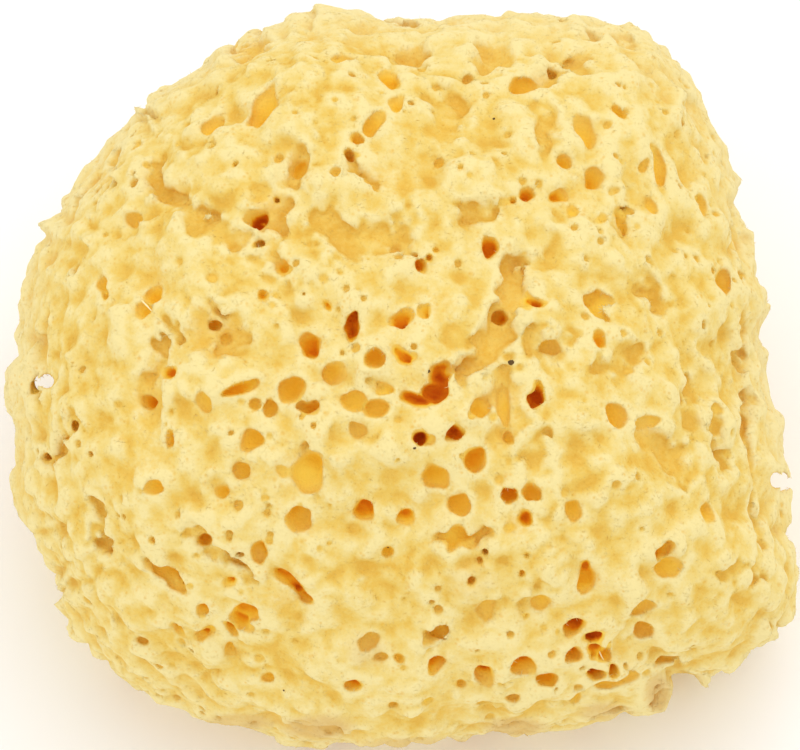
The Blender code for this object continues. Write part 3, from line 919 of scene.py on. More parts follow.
    def _small_mouths(self) -> list[tuple[Vector, Vector, float, float]]:
        """Smaller pores of the back and the foot.

        Returns:
            For each its mouth and outward direction in the sponge's frame, its radius and its depth.
        """
        found: list[tuple[Vector, Vector, float, float]] = []
        rule = random.Random(self.hidden_seed + 2)
        middle = Vector(self.face.middle)
        out = Vector(self.face.axes[2])
        while len(found) < self.small_back_pores:
            direction = Vector([rule.gauss(0, 1) for _ in range(3)]).normalized()
            turned = self.face.axes @ np.array(direction)
            mouth = middle + direction * float(self.dome.hull.read(turned[None])[0])
            if direction.dot(out) > -self.back_start or mouth.z < 2:
                continue
            found.append((mouth, direction, rule.uniform(0.6, 1.7), rule.uniform(3, 9)))
        foot: list[tuple[Vector, Vector, float, float]] = []
        while len(foot) < self.small_foot_pores:
            mouth = Vector((rule.uniform(-55, 60), rule.uniform(-48, 42), 0.0))
            turned = self.face.turned(np.array(mouth)[None])
            inside = np.linalg.norm(turned) < float(self.dome.hull.read(turned)[0]) - 3
            if inside and mouth.length > self.foot_ring[0] / 2:
                foot.append((mouth, Vector((0, 0, -1)), rule.uniform(0.5, 1.8), rule.uniform(3, 9)))
        return found + foot

    def _cut_hidden_pores(self) -> None:
        """Cuts the pores of the back and the foot."""
        rule = random.Random(self.hidden_seed)
        for mouth, outward, radius, depth in [*self._hidden_mouths(), *self._small_mouths()]:
            side = outward.orthogonal().normalized()
            sides = self.face.axes @ np.array(side), self.face.axes @ np.array(outward.cross(side))
            turned = self.face.turned(np.array(mouth)[None])[0]
            inward = self.face.axes @ -np.array(outward)
            tube = self._tube(rule, turned, inward, sides, (radius, radius), depth)
            self.field.carve(*tube, self.rim_blend)

    def _cut_pinholes(self) -> None:
        """Pricks small pits all over, more of them in some places than in others."""
        rule = random.Random(self.seed + 1)
        groups = [Vector([rule.gauss(0, 1) for _ in range(3)]).normalized() for _ in range(90)]
        for index in range(self.pinholes):
            spread = 0.10 if index % 3 else 1.0
            direction = groups[index % len(groups)] + Vector([rule.gauss(0, spread) for _ in range(3)])
            direction.normalize()
            radius = rule.uniform(0.4, 0.65) if index % 9 else rule.uniform(0.65, 0.95)
            turned = np.array(direction)
            point = turned * float(self.dome.hull.read(turned[None])[0])
            length = rule.uniform(-0.3, 0.2)
            ends = self.face.world(np.array([point * 1.01, point - turned * length]))
            window = self.field.window(ends.min(axis=0) - radius - 0.6, ends.max(axis=0) + radius + 0.6)
            offset = self.face.turned(self.field.points(window)) - point
            if not len(offset):
                continue
            along = np.clip(offset @ -turned, -1.5, length)
            hole = np.linalg.norm(offset + along[:, None] * turned, axis=1) - radius
            self.field.carve(window, hole, self.rim_blend / 2)

    def _cut_through_holes(self) -> None:
        """Cuts the holes near the rim that let the light through, each open to a hollow behind the rim."""
        for across, down, half_width, half_height in self.through_holes:
            start = self.dome.spot(across, down)
            eye = np.array([0, 0, self.face.eye_distance])
            inward = (start - eye) / np.linalg.norm(start - eye)
            radii = np.array([half_width, half_height]) * self.face.pixel
            reach = 60.0
            ends = self.face.world(np.array([start - inward * self.lead, start + inward * reach]))
            window = self.field.window(ends.min(axis=0) - 12, ends.max(axis=0) + 12)
            offset = self.face.turned(self.field.points(window)) - start
            along = offset @ inward
            flat = offset - along[:, None] * inward
            widening = 1 + np.clip((along - 4) / 5, 0, 3)
            wall = (np.hypot(flat[:, 0] / radii[0], flat[:, 1] / radii[1]) / widening - 1) * radii.min()
            self.field.carve(window, wall, self.rim_blend)

    def landing(self, across: float, down: float) -> tuple[Array, Array]:
        """The place of the finished skin that the photograph shows at a pixel.

        Args:
            across: Pixels from the picture's left.
            down: Pixels from its top.

        Returns:
            The place and the outward direction there, in the sponge's own frame.
        """
        spot = self.dome.spot(across, down)
        outward = spot / np.linalg.norm(spot)
        line = self.face.world(spot + outward * np.arange(4, -9, -0.1)[:, None])
        inside = self.field.sample(self.field.distance, line) < 0
        return line[int(inside.argmax())], outward @ self.face.axes

    def _thinned(self, points: Array, triangles: Array) -> list[bpy.types.Object]:
        """Makes the meshes: thins the back, which is seen less closely, and then the face outside its pores.

        Args:
            points: The surface's points.
            triangles: Its triangles.

        Returns:
            The outer skin and the linings.
        """
        self.fine_blur = self.field.blurred(2)
        self.broad_blur = self.field.blurred(6)
        turned = self.face.turned(points)
        front = turned[:, 2] > -0.05 * np.linalg.norm(turned, axis=1)
        lined = (self.marks(points)["depth"] > self.lining_depth) & front
        for _ in range(self.rim_rings):
            lined[triangles[lined[triangles].any(axis=1)]] = True
        whole = mesh_object("sponge_whole", points * MM, triangles)
        store(whole.data, "front", front)
        store(whole.data, "lined", lined)
        hidden = int((~front[triangles]).any(axis=1).sum())
        thin(whole, 1 - max(hidden - self.back_triangles, 0) / len(triangles), ~front)
        lined, front = stored(whole.data, "lined"), stored(whole.data, "front")
        excess = int((~lined[triangles_of(whole.data)].all(axis=1)).sum()) - self.most_triangles
        thin(whole, 1 - max(excess, 0) / len(whole.data.polygons), front & ~lined)
        self.points = points_of(whole.data)
        self.triangles = triangles_of(whole.data)
        deep = stored(whole.data, "lined")
        lined = deep[self.triangles].all(axis=1)
        while len(lined) - lined.sum() > self.most_triangles:
            deep[self.triangles[deep[self.triangles].any(axis=1)]] = True
            lined = deep[self.triangles].all(axis=1)
        normals = np.empty(len(self.points) * 3, np.float32)
        whole.data.vertex_normals.foreach_get("vector", normals)
        made = []
        for name, chosen in (("sponge_skin", ~lined), ("pore_linings", lined)):
            used, faces = np.unique(self.triangles[chosen], return_inverse=True)
            piece = mesh_object(name, self.points[used] * MM, faces.reshape(-1, 3))
            piece.data.shade_smooth()
            piece.data.normals_split_custom_set_from_vertices(normals.reshape(-1, 3)[used])
            for mark, values in self.marks(self.points[used]).items():
                store(piece.data, mark, values)
            made.append(piece)
        bpy.data.objects.remove(whole)
        return made

    def marks(self, points: Array) -> dict[str, Array]:
        """What the finish needs to know of places on the skin.

        Args:
            points: The places, one a row.

        Returns:
            How deep each lies in a pore, and how deep that pore's surroundings lie in a furrow, how far it
            stands out of what is close round it and of what is further round it, how much painted highlight
            it gets near the rim, more towards the top, and how much it has of the face's golden patches,
            stain and painted shade, and of its brown patches, which are painted shade of the undersides.
        """
        turned = self.face.turned(points)
        reach = np.linalg.norm(turned, axis=1)
        sunk = self.dome.hull.read(turned) - reach
        depth = -self.field.sample(self.uncut, points)
        full = self.known_depth
        depth = np.where(depth < full, depth, np.maximum(sunk - self.dome.furrowed.read(turned), full))
        furrow = sunk - depth
        # Pores cut short take the colour, partly painted shade, of their full depth.
        depth = depth * self.field.sample(self.colour_depth_scale, points)
        depth = np.minimum(depth, points[:, 2] + self.rim_blend)
        tilt = turned[:, 2] / reach
        # Painted highlight along the rim where the skin turns away from the eye, weaker towards the bottom
        # and back.
        low = np.clip((turned[:, 1] + 38) / 30, 0.25, 1)
        pale = np.clip((0.46 - tilt) / 0.36, 0, 1) * low * np.clip(1 + tilt, 0.4, 1)
        across, down = self.face.picture(turned)
        front = turned[:, 2] > -0.08 * reach
        stains_and_shade = []
        for patches in (GOLDEN_PATCHES, UNDERSIDE_SHADE_PATCHES):
            stain_and_shade = np.zeros(len(points))
            for patch in patches:
                aside = (across - patch.across) / patch.half_width
                off = np.hypot(aside, (down - patch.down) / patch.half_height)
                stain_and_shade = np.maximum(stain_and_shade, patch.strength * np.clip((1.3 - off) / 0.6, 0, 1))
            stains_and_shade.append(stain_and_shade * front)
        return {
            "depth": depth,
            "furrow": furrow,
            "crest": self.field.sample(self.fine_blur, points),
            "bulge": self.field.sample(self.broad_blur, points),
            "pale": pale,
            "golden": stains_and_shade[0],
            "brown": stains_and_shade[1],
        }


def points_of(mesh: bpy.types.Mesh) -> Array:
    """A mesh's points in millimetres, one a row."""
    points = np.empty(len(mesh.vertices) * 3)
    mesh.vertices.foreach_get("co", points)
    return points.reshape(-1, 3) / MM


def triangles_of(mesh: bpy.types.Mesh) -> Array:
    """A mesh's triangles, each a row of three point numbers."""
    corners = np.empty(len(mesh.loops), np.int32)
    mesh.loops.foreach_get("vertex_index", corners)
    return corners.reshape(-1, 3)


def store(mesh: bpy.types.Mesh, name: str, values: Array) -> None:
    """Keeps a number for each point of a mesh.

    Args:
        mesh: The mesh.
        name: What the number is called.
        values: The numbers.
    """
    layer = mesh.attributes.new(name, "FLOAT", "POINT")
    layer.data.foreach_set("value", values.astype(np.float32))


def stored(mesh: bpy.types.Mesh, name: str) -> Array:
    """Which points of a mesh have more than a half stored under a name."""
    values = np.empty(len(mesh.vertices), np.float32)
    mesh.attributes[name].data.foreach_get("value", values)
    return values > 0.5


def mesh_object(name: str, points: Array, faces: Array) -> bpy.types.Object:
    """A new object in the scene.

    Args:
        name: Its name.
        points: Its points in metres.
        faces: Its faces, each a row of point numbers.

    Returns:
        The object.
    """
    mesh = bpy.data.meshes.new(name)
    count, corners = faces.shape
    mesh.vertices.add(len(points))
    mesh.vertices.foreach_set("co", points.astype(np.float32).reshape(-1))
    mesh.loops.add(count * corners)
    mesh.loops.foreach_set("vertex_index", faces.astype(np.int32).reshape(-1))
    mesh.polygons.add(count)
    mesh.polygons.foreach_set("loop_start", np.arange(0, count * corners, corners, dtype=np.int32))
    mesh.update(calc_edges=True)
    made = bpy.data.objects.new(name, mesh)
    bpy.context.scene.collection.objects.link(made)
    return made


def thin(target: bpy.types.Object, ratio: float, where: Array) -> None:
    """Collapses a share of an object's triangles, the flattest first.

    Args:
        target: The object. Its mesh is replaced.
        ratio: The share to keep.
        where: True for each point that may go.
    """
    group = target.vertex_groups.new(name="thinned")
    group.add(np.flatnonzero(where).tolist(), 1.0, "REPLACE")
    step = target.modifiers.new("thin", "DECIMATE")
    step.ratio = ratio
    step.vertex_group = group.name
    step.vertex_group_factor = 0
    graph = bpy.context.evaluated_depsgraph_get()
    made = bpy.data.meshes.new_from_object(target.evaluated_get(graph))
    target.modifiers.clear()
    target.vertex_groups.clear()
    old = target.data
    target.data = made
    bpy.data.meshes.remove(old)
    log.info("%s thinned to %d triangles", target.name, len(made.polygons))


@dataclass(frozen=True)
class Growth:
    """One piece of fibres: where it grows, how many there are, their sizes, and how they stand and arch."""

    name: str
    side: Side
    count: int
    lengths: tuple[float, float]
    widths: tuple[float, float]
    stand: float
    arch: float
    rings: tuple[tuple[float, float], ...]
    crests_only: bool = False


@dataclass
class Tufts:
    """The felt of the skin: fine closed fibres rooted in it, along it and, on its crests, looser."""

    skin: Skin
    seed: int = 9
    root: float = 0.05
    tones: tuple[float, float] = (-0.4, 0.7)
    depths: tuple[float, float] = (1.5, 3.0)
    foot_height: float = 1.2
    growths: tuple[Growth, ...] = (
        Growth("felt_face_1", Side.FACE, 33_000, (0.4, 1.0), (0.035, 0.055), 0.10, 0.10, ((0.5, 1.0),)),
        Growth("felt_face_2", Side.FACE, 20_000, (0.4, 1.0), (0.035, 0.055), 0.10, 0.10, ((0.5, 1.0),)),
        Growth("felt_back", Side.BACK, 20_000, (0.5, 1.3), (0.045, 0.07), 0.12, 0.12, ((0.5, 1.0),)),
        Growth(
            "fibres_face", Side.FACE, 8_000, (0.5, 1.2), (0.04, 0.06), 0.8, 0.2, ((0.3, 1.0), (0.7, 0.7)),
            crests_only=True,
        ),
    )

    def build(self) -> list[bpy.types.Object]:
        """Grows every piece.

        Returns:
            The pieces.
        """
        rule = np.random.default_rng(self.seed)
        points = self.skin.points[self.skin.triangles]
        normal = np.cross(points[:, 1] - points[:, 0], points[:, 2] - points[:, 0])
        area = np.linalg.norm(normal, axis=1)
        normal /= np.maximum(area, 1e-9)[:, None]
        middle = points.mean(axis=1)
        marks = self.skin.marks(middle)
        turned = self.skin.face.turned(middle)
        front = turned[:, 2] > -0.05 * np.linalg.norm(turned, axis=1)
        shallow = np.clip((self.depths[1] - marks["depth"]) / (self.depths[1] - self.depths[0]), 0, 1)
        even = area * shallow * (middle[:, 2] > self.foot_height)
        made = []
        for growth in self.growths:
            weight = even * (front if growth.side is Side.FACE else ~front)
            if growth.crests_only:
                inner = np.clip(turned[:, 2] / np.linalg.norm(turned, axis=1) * 4 - 1, 0, 1)
                weight = weight * np.clip(marks["crest"] * 4 - 0.5, 0, 2) * inner
            chosen = rule.choice(len(area), growth.count, p=weight / weight.sum())
            log.info("%s: chosen from %d faces", growth.name, int((weight > 0).sum()))
            share = rule.dirichlet((1, 1, 1), growth.count)
            places = np.einsum("ij,ijk->ik", share, points[chosen])
            made.append(self._piece(growth, places, normal[chosen], rule))
        return made

    def _piece(
        self, growth: Growth, places: Array, normals: Array, rule: np.random.Generator
    ) -> bpy.types.Object:
        """One joined mesh of spindles.

        Args:
            growth: What they are like.
            places: Where each stands on the skin.
            normals: The skin's direction there.
            rule: Where sizes and slants are drawn from.

        Returns:
            The piece.
        """
        count = len(places)
        heading = rule.normal(0, 1, (count, 3))
        heading -= normals * np.einsum("ij,ij->i", heading, normals)[:, None]
        heading /= np.linalg.norm(heading, axis=1)[:, None]
        lean = heading + normals * growth.stand
        lean /= np.linalg.norm(lean, axis=1)[:, None]
        length = rule.uniform(*growth.lengths, count)[:, None]
        width = rule.uniform(*growth.widths, count)[:, None]
        side = np.cross(lean, normals)
        side /= np.linalg.norm(side, axis=1)[:, None]
        other = np.cross(lean, side)
        foot = places - normals * self.root
        stages = [foot]
        for share, swell in growth.rings:
            lift = growth.arch * 4 * share * (1 - share)
            heart = foot + lean * length * share + normals * length * lift
            for turn in range(3):
                angle = turn * math.tau / 3
                stages.append(heart + (side * math.cos(angle) + other * math.sin(angle)) * width * swell)
        stages.append(foot + lean * length)
        points = np.stack(stages, axis=1)
        pattern, spread = self._pattern(len(growth.rings))
        faces = (pattern[None] + points.shape[1] * np.arange(count)[:, None, None]).reshape(-1, 3)
        made = mesh_object(growth.name, points.reshape(-1, 3) * MM, faces)
        self._unwrap(made.data, spread, count)
        marks = self.skin.marks(places)
        # A random tone for each fibre, on top of the painted shade that the skin's crest carries.
        marks["crest"] = marks["crest"] + rule.uniform(*self.tones, count)
        for name, values in marks.items():
            store(made.data, name, np.repeat(values, points.shape[1]))
        return made

    @staticmethod
    def _pattern(rings: int) -> tuple[Array, Array]:
        """The faces of one spindle, and how they lie flat.

        Args:
            rings: How many rings of three points it has.

        Returns:
            Rows of three point numbers, and the place of each of their corners in a unit square.
        """
        faces = []
        spread = []
        tip = 1 + 3 * rings
        top = rings + 1
        for k in range(3):
            after = (k + 1) % 3
            left, middle, right = k / 3, (k + 0.5) / 3, (k + 1) / 3
            faces.append((0, 1 + after, 1 + k))
            spread += [(middle, 0), (right, 1 / top), (left, 1 / top)]
            for ring in range(rings - 1):
                low, high = 1 + 3 * ring, 4 + 3 * ring
                near, far = (ring + 1) / top, (ring + 2) / top
                faces += [(low + k, low + after, high + after), (low + k, high + after, high + k)]
                spread += [(left, near), (right, near), (right, far), (left, near), (right, far), (left, far)]
            last = tip - 3
            faces.append((last + k, last + after, tip))
            spread += [(left, rings / top), (right, rings / top), (middle, 1)]
        return np.array(faces), np.array(spread)

    @staticmethod
    def _unwrap(mesh: bpy.types.Mesh, spread: Array, count: int) -> None:
        """Gives each spindle a square of its own in the map that its colours are baked to."""
        side = math.ceil(math.sqrt(count))
        number = np.arange(count)
        corner = np.stack([number % side, number // side], axis=1)
        places = (corner[:, None] + 0.1 + 0.8 * spread[None]) / side
        layer = mesh.uv_layers.new(name="OFBake")
        layer.data.foreach_set("uv", places.reshape(-1).astype(np.float32))


@dataclass(frozen=True)
class Speck:
    """A crumb of dark debris: its place in the photograph and its half widths in pixels."""

    across: float
    down: float
    size: tuple[float, float]


@dataclass
class Specks:
    """The dark debris that sits on the face."""

    skin: Skin
    specks: tuple[Speck, ...] = (
        Speck(511.4, 362, (3.0, 2.5)),
        Speck(428.8, 371, (1.6, 1.5)),
        Speck(414.4, 447.5, (1.7, 1.4)),
        Speck(387.5, 552, (1.4, 1.3)),
        Speck(284, 690, (1.2, 1.1)),
        Speck(494.5, 117, (1.3, 1.1)),
    )
    seed: int = 3
    rough: float = 0.2

    def build(self) -> bpy.types.Object:
        """Lays the specks on the skin, each a lumpy ball, in one mesh."""
        rule = np.random.default_rng(self.seed)
        ball = bmesh.new()
        bmesh.ops.create_icosphere(ball, subdivisions=2, radius=1)
        shape = np.array([point.co for point in ball.verts])
        sides = np.array([[point.index for point in side.verts] for side in ball.faces])
        ball.free()
        points = []
        faces = []
        for speck in self.specks:
            place, _ = self.skin.landing(speck.across, speck.down)
            half = np.array([*speck.size, min(speck.size)]) * self.skin.face.pixel
            lumpy = shape * (1 + rule.uniform(-self.rough, self.rough, (len(shape), 1))) * half
            faces.append(sides + len(points) * len(shape))
            points.append(place + lumpy @ self.skin.face.axes)
        made = mesh_object("dark_specks", np.concatenate(points) * MM, np.concatenate(faces))
        made.data.shade_smooth()
        return made


@dataclass(frozen=True)
class Strand:
    """A thread that spans a hollow: its two ends in the photograph's pixels, and its half thickness in mm."""

    start: tuple[float, float]
    end: tuple[float, float]
    half_thickness: float = 0.14


@dataclass
class Strands:
    """Pale threads that bridge hollows."""

    skin: Skin
    strands: tuple[Strand, ...] = (
        Strand((141, 300), (166, 329), 0.11),
        Strand((134, 290), (143, 302), 0.09),
        Strand((452, 381), (470, 394), 0.07),
        Strand((598, 640), (604, 664), 0.12),
    )
    stops: int = 10
    sides: int = 5
    sag: float = 0.5
    sink: float = 0.25

    def build(self) -> bpy.types.Object:
        """Strings the threads across, in one mesh."""
        points = []
        faces: list[tuple[int, int, int]] = []
        for strand in self.strands:
            (first, out), (last, _) = self.skin.landing(*strand.start), self.skin.landing(*strand.end)
            run = (last - first) / np.linalg.norm(last - first)
            side = np.cross(run, out)
            side /= np.linalg.norm(side)
            other = np.cross(run, side)
            base = sum(len(ring) for ring in points)
            for share in np.linspace(0, 1, self.stops):
                drop = self.sink + self.sag * math.sin(math.pi * share)
                heart = first + (last - first) * share - out * drop
                thick = strand.half_thickness * (1.5 - math.sin(math.pi * share) * 0.6)
                turns = np.arange(self.sides) * (math.tau / self.sides)
                ring = np.cos(turns)[:, None] * side + np.sin(turns)[:, None] * other
                points.append(heart + thick * ring)
            for stop in range(self.stops - 1):
                for k in range(self.sides):
                    low, after = base + stop * self.sides, (k + 1) % self.sides
                    high = low + self.sides
                    faces += [(low + k, low + after, high + after), (low + k, high + after, high + k)]
            end = base + (self.stops - 1) * self.sides
            for k in range(1, self.sides - 1):
                faces += [(base, base + k + 1, base + k), (end, end + k, end + k + 1)]
        made = mesh_object("threads", np.concatenate(points) * MM, np.array(faces))
        made.data.shade_smooth()
        return made


class Socket:
    """A node's output, or a plain number, that takes part in shader maths."""

    def __init__(self, shader: Shader, source: bpy.types.NodeSocket | float) -> None:
        """Wraps one value of a shader."""
        self.shader = shader
        self.source = source

    def _with(self, operation: str, *others: Socket | float) -> Socket:
        """A Math node over this value and others."""
        values = {0: self, **dict(enumerate(others, 1))}
        return self.shader.node("ShaderNodeMath", {"operation": operation}, values)

    def __add__(self, other: Socket | float) -> Socket:
        """Sum."""
        return self._with("ADD", other)

    __radd__ = __add__

    def __sub__(self, other: Socket | float) -> Socket:
        """Difference."""
        return self._with("SUBTRACT", other)

    def __rsub__(self, other: float) -> Socket:
        """Difference from a number."""
        return Socket(self.shader, other)._with("SUBTRACT", self)

    def __mul__(self, other: Socket | float) -> Socket:
        """Product."""
        return self._with("MULTIPLY", other)

    __rmul__ = __mul__

    def clamped(self) -> Socket:
        """The value held between 0 and 1."""
        return self.shader.node("ShaderNodeClamp", {}, {"Value": self})


class Shader:
    """A material being put together."""

    def __init__(self, name: str) -> None:
        """A new material with a Principled shader.

        Args:
            name: The material's name.
        """
        self.material = bpy.data.materials.new(name)
        self.material.use_nodes = True
        self.tree = self.material.node_tree
        self.principled = self.tree.nodes["Principled BSDF"]

    def node(
        self, kind: str, settings: dict[str, object], inputs: dict[str | int, object], output: str | int = 0
    ) -> Socket:
        """Adds a node.

        Args:
            kind: The node's type.
            settings: Its properties. A ramp's stops are given as "stops", each a place and a colour.
            inputs: Values or links for its sockets, by name or number.
            output: Which of its outputs is wanted.

        Returns:
            That output.
        """
        made = self.tree.nodes.new(kind)
        for name, value in settings.items():
            if name == "stops":
                self._set_stops(made.color_ramp, value)
            else:
                setattr(made, name, value)
        for name, value in inputs.items():
            self.feed(made.inputs[name], value)
        return Socket(self, made.outputs[output])

    @staticmethod
    def _set_stops(ramp: bpy.types.ColorRamp, stops: Sequence[tuple[float, tuple[float, ...]]]) -> None:
        """Gives a ramp its places and colours."""
        while len(ramp.elements) < len(stops):
            ramp.elements.new(1.0)
        for element, (place, colour) in zip(ramp.elements, stops):
            element.position = place
            element.color = colour

    def feed(self, target: bpy.types.NodeSocket, value: object) -> None:
        """Links or sets one input.

        Args:
            target: The input.
            value: A Socket, a number or a colour.
        """
        if isinstance(value, Socket):
            value = value.source
        if isinstance(value, bpy.types.NodeSocket):
            self.tree.links.new(value, target)
        else:
            target.default_value = value

    def mix(self, share: Socket | float, first: object, second: object, blend: str = "MIX") -> Socket:
        """Blends two colours.

        Args:
            share: How much of the second there is.
            first: The first colour.
            second: The second colour.
            blend: The way they are blended.

        Returns:
            The blended colour.
        """
        settings = {"data_type": "RGBA", "blend_type": blend}
        return self.node("ShaderNodeMix", settings, {0: share, 6: first, 7: second}, 2)


def linear(red: int, green: int, blue: int) -> tuple[float, float, float, float]:
    """A colour of 0 to 255 a channel, as the screen shows it, in linear light."""
    return (*(math.pow(channel / 255, 2.2) for channel in (red, green, blue)), 1.0)


@dataclass(frozen=True)
class SpongeFinish:
    """Bleached sponge, cream and gold; orange in hollows, red-brown deep in pores, partly painted shade."""

    deepest: float = 6.0
    # Colour by depth in hollows and pores: partly the sponge's own less bleached inside, partly painted shade
    # that deepens with depth.
    hollow_stops: tuple[tuple[float, tuple[int, int, int]], ...] = (
        (0.0, (235, 194, 92)),
        (1.0, (238, 201, 98)),
        (2.0, (242, 206, 94)),
        (2.8, (243, 203, 79)),
        (3.4, (239, 189, 58)),
        (4.0, (232, 160, 35)),
        (4.6, (218, 125, 22)),
        (6.0, (179, 74, 9)),
    )
    outside_stops: tuple[tuple[float, tuple[int, int, int]], ...] = (
        (0.0, (221, 174, 74)),
        (0.3, (229, 193, 97)),
        (0.6, (233, 206, 124)),
        (1.0, (238, 219, 153)),
    )
    # Furrow floors, golden to deeper gold: partly the sponge's own colour, partly painted shade.
    furrow: tuple[int, int, int] = (235, 198, 99)
    furrow_deep: tuple[int, int, int] = (230, 181, 74)
    # The colour of the painted highlight along the rim, stronger on top.
    rim: tuple[int, int, int] = (237, 219, 160)
    # The painted shade of the undersides along the bottom edge.
    brown: tuple[int, int, int] = (218, 182, 114)
    dot: tuple[int, int, int] = (224, 172, 64)
    patch_scale: float = 130.0
    froth_scale: float = 260.0
    blotch_scale: float = 480.0
    crumb_scale: float = 1050.0
    grain_scale: float = 2300.0
    dots: tuple[tuple[float, float, float], ...] = ((1000.0, 2.8, 7.0), (560.0, 3.2, 6.0))
    bump: float = 0.3
    bump_height: float = 0.0005
    roughness: float = 0.92
    shine: float = 0.12

    def build(self) -> bpy.types.Material:
        """The material."""
        shader = Shader("bleached_sponge")
        place = shader.node("ShaderNodeTexCoord", {}, {}, "Object")
        depth, furrow, crest, bulge, pale, golden, brown = (
            shader.node("ShaderNodeAttribute", {"attribute_name": name}, {}, "Fac")
            for name in ("depth", "furrow", "crest", "bulge", "pale", "golden", "brown")
        )
        patch = self._noise(shader, place, self.patch_scale, 2) - 0.5
        blotch = self._noise(shader, place, self.blotch_scale, 3) - 0.5
        crumb = self._noise(shader, place, self.crumb_scale, 2) - 0.5
        grain = self._noise(shader, place, self.grain_scale, 2) - 0.5
        settings = {"Vector": place, "Scale": self.froth_scale, "Detail": 5.0, "Roughness": 0.7}
        froth = shader.node("ShaderNodeTexNoise", {}, settings, "Fac")
        curd = ((froth - 0.5) * 5 + 0.5).clamped() - 0.5
        tone = 0.57 + patch * 0.35 + curd * 0.14 + blotch * 0.25 + crumb * 0.45 + grain * 0.25
        # Painted shade: the tone is paler on crests and swells, darker gold in creases and on the golden
        # patches.
        tone = tone + crest * 1.1 + bulge * 0.4 - golden * 0.25
        stops = self._stops(self.outside_stops, 1)
        outside = shader.node("ShaderNodeValToRGB", {"stops": stops}, {"Fac": tone})
        # Painted highlight: paler near the rim, as marked in pale.
        outside = shader.mix(pale * (0.75 + curd * 0.5), outside, linear(*self.rim))
        worn = (0.5 + blotch * 3 + patch * 2 + crumb * 2).clamped()
        floor = shader.mix(worn, linear(*self.furrow), linear(*self.furrow_deep))
        # Furrow floors coloured by how deep they lie: partly painted shade.
        edge = ((furrow - 0.35 - curd * 0.5 - crumb * 2) * 0.55).clamped()
        outside = shader.mix(edge * 0.9, outside, floor)
        # Hollows and pores darken with depth along the ramp: partly painted shade, partly the less bleached
        # inside.
        level = (depth + blotch * 0.6 + patch * 0.4) * (1 / self.deepest)
        stops = self._stops(self.hollow_stops, self.deepest)
        hollow = shader.node("ShaderNodeValToRGB", {"stops": stops}, {"Fac": level})
        inside = ((depth + blotch * 0.4 - 0.2) * 1.5).clamped()
        base = shader.mix(inside, outside, hollow)
        shallow = (1.6 - depth).clamped()
        for scale, size, shown in self.dots:
            dots = shader.node("ShaderNodeTexVoronoi", {}, {"Vector": place, "Scale": scale}, "Distance")
            dotted = (1 - dots * size).clamped() * ((0.04 - blotch) * shown).clamped() * shallow
            base = shader.mix(dotted * 0.6, base, linear(*self.dot))
        # Painted shade on the undersides along the bottom edge, from the brown patches.
        base = shader.mix((brown + (blotch + patch) * brown).clamped() * 0.8, base, linear(*self.brown))
        shader.feed(shader.principled.inputs["Base Color"], base)
        settings = {"Height": grain + crumb + blotch, "Strength": self.bump, "Distance": self.bump_height}
        shader.feed(shader.principled.inputs["Normal"], shader.node("ShaderNodeBump", {}, settings, "Normal"))
        shader.principled.inputs["Roughness"].default_value = self.roughness
        shader.principled.inputs["Specular IOR Level"].default_value = self.shine
        return shader.material

    @staticmethod
    def _stops(
        stops: Sequence[tuple[float, tuple[int, int, int]]], whole: float
    ) -> list[tuple[float, tuple[float, ...]]]:
        """A ramp's stops with their places as shares of the whole, and colours in linear light."""
        return [(at / whole, linear(*colour)) for at, colour in stops]

    @staticmethod
    def _noise(shader: Shader, place: Socket, scale: float, detail: float) -> Socket:
        """Soft noise over the surface, from 0 to 1."""
        settings = {"Vector": place, "Scale": scale, "Detail": detail}
        return shader.node("ShaderNodeTexNoise", {}, settings, "Fac")


@dataclass(frozen=True)
class ThreadFinish:
    """The pale threads."""

    pale: tuple[int, int, int] = (252, 238, 188)
    warm: tuple[int, int, int] = (246, 218, 132)

    def build(self) -> bpy.types.Material:
        """The material."""
        shader = Shader("sponge_thread")
        place = shader.node("ShaderNodeTexCoord", {}, {}, "Object")
        noise = shader.node("ShaderNodeTexNoise", {}, {"Vector": place, "Scale": 700.0, "Detail": 2.0}, "Fac")
        base = shader.mix(((noise - 0.35) * 3).clamped(), linear(*self.pale), linear(*self.warm))
        shader.feed(shader.principled.inputs["Base Color"], base)
        shader.principled.inputs["Roughness"].default_value = 0.85
        shader.principled.inputs["Specular IOR Level"].default_value = 0.15
        return shader.material


@dataclass(frozen=True)
class SpeckFinish:
    """Dark debris."""

    dark: tuple[int, int, int] = (58, 44, 20)
    brown: tuple[int, int, int] = (118, 86, 36)

    def build(self) -> bpy.types.Material:
        """The material."""
        shader = Shader("dark_debris")
        place = shader.node("ShaderNodeTexCoord", {}, {}, "Object")
        noise = shader.node("ShaderNodeTexNoise", {}, {"Vector": place, "Scale": 3000.0}, "Fac")
        base = shader.mix(noise, linear(*self.dark), linear(*self.brown))
        shader.feed(shader.principled.inputs["Base Color"], base)
        shader.principled.inputs["Roughness"].default_value = 0.8
        return shader.material


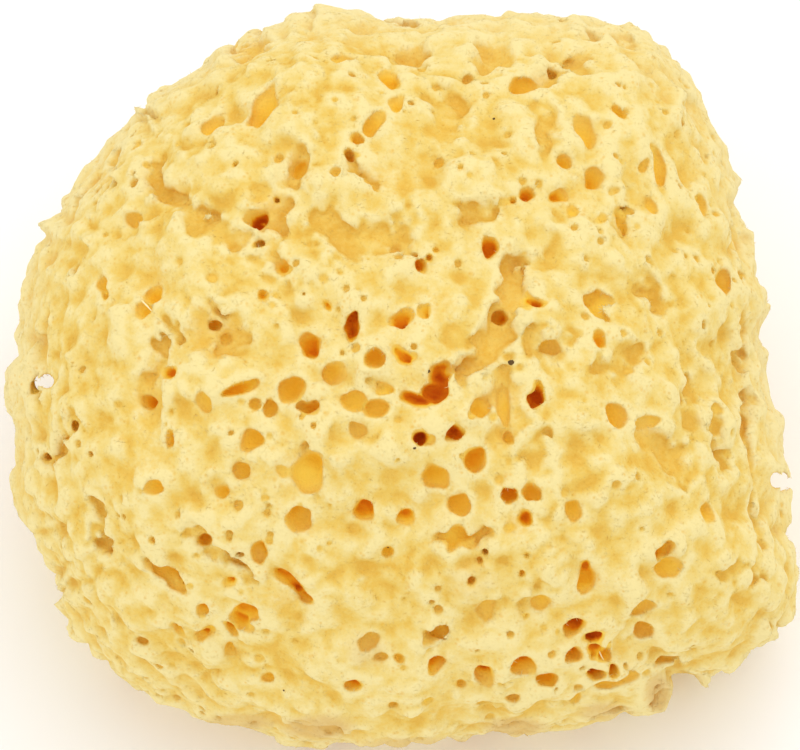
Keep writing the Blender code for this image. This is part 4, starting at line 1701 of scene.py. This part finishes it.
@dataclass
class Studio:
    """The floor, the lights and the camera."""

    face: Face
    floor_side: float = 4.0
    sensor: float = 36.0
    key_power: float = 1.75
    fill_power: float = 0.85
    sky: float = 1.01
    bounces: int = 9

    def build(self) -> None:
        """Sets up the stage."""
        self._floor()
        self._sky()
        out = Vector(self.face.axes[2])
        up = Vector(self.face.axes[1])
        right = Vector(self.face.axes[0])
        self._lamp("key_light", (up * 0.72 + right * 0.25 + out * 0.65) * 0.9, 0.9, self.key_power)
        self._lamp("fill_light", (out * 0.8 - right * 0.7 - up * 0.15) * 0.9, 1.0, self.fill_power)
        self._camera(right, up, out)

    def _floor(self) -> None:
        """A plain white floor."""
        half = self.floor_side / 2
        corners = np.array([(-half, -half, 0), (half, -half, 0), (half, half, 0), (-half, half, 0)])
        floor = mesh_object("floor", corners, np.array([(0, 1, 2, 3)]))
        floor.location.z = -0.0002
        shader = Shader("white_floor")
        shader.principled.inputs["Base Color"].default_value = (0.96, 0.96, 0.96, 1)
        shader.principled.inputs["Roughness"].default_value = 0.9
        floor.data.materials.append(shader.material)
        floor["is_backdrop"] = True

    def _sky(self) -> None:
        """Even white light from all round."""
        world = bpy.data.worlds.new("studio")
        world.use_nodes = True
        world.node_tree.nodes["Background"].inputs["Color"].default_value = (1, 1, 1, 1)
        world.node_tree.nodes["Background"].inputs["Strength"].default_value = self.sky
        bpy.context.scene.world = world
        bpy.context.scene.cycles.diffuse_bounces = self.bounces

    def _lamp(self, name: str, place: Vector, size: float, power: float) -> None:
        """A square soft light that points at the sponge.

        Args:
            name: Its name.
            place: Where it hangs, from the sponge's middle.
            size: Its side.
            power: Its power in watts.
        """
        lamp = bpy.data.lights.new(name, "AREA")
        lamp.size = size
        lamp.energy = power
        made = bpy.data.objects.new(name, lamp)
        made.location = Vector(self.face.middle) * MM + place
        made.rotation_mode = "QUATERNION"
        made.rotation_quaternion = (-place).to_track_quat("-Z", "Y")
        bpy.context.scene.collection.objects.link(made)

    def _camera(self, right: Vector, up: Vector, out: Vector) -> None:
        """The photograph's eye: its middle pixel looks past the sponge's middle by the picture's offset."""
        width, height = self.face.picture_size
        camera = bpy.data.cameras.new("eye")
        camera.sensor_width = self.sensor
        camera.lens = self.sensor * self.face.eye_distance / (width * self.face.pixel)
        middle = self.face.picture_middle
        offset = (right * (width / 2 - middle[0]) + up * (middle[1] - height / 2)) * self.face.pixel
        made = bpy.data.objects.new("eye", camera)
        made.location = (Vector(self.face.middle) + out * self.face.eye_distance + offset) * MM
        made.rotation_euler = (math.pi / 2 - self.face.rise, 0, 0)
        bpy.context.scene.collection.objects.link(made)
        bpy.context.scene.camera = made
        bpy.context.scene.view_settings.view_transform = "Standard"


def main() -> None:
    """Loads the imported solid, and builds the sponge's looks and the studio round it."""
    logging.basicConfig(level=logging.INFO, format="%(message)s")
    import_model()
    face = Face()
    Studio(face).build()
    dome = Dome(face)
    skin = Skin(face, dome)
    body = skin.build()
    for piece in body:
        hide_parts("sponge")
    pieces = [*body, *Tufts(skin).build()]
    finish = SpongeFinish().build()
    for piece in pieces:
        piece.data.materials.append(finish)
    threads = Strands(skin).build()
    threads.data.materials.append(ThreadFinish().build())
    specks = Specks(skin).build()
    specks.data.materials.append(SpeckFinish().build())
    for piece in [*pieces, threads, specks]:
        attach(piece, "root")
        log.info("%s: %d triangles", piece.name, len(piece.data.polygons))


if __name__ == "__main__":
    main()
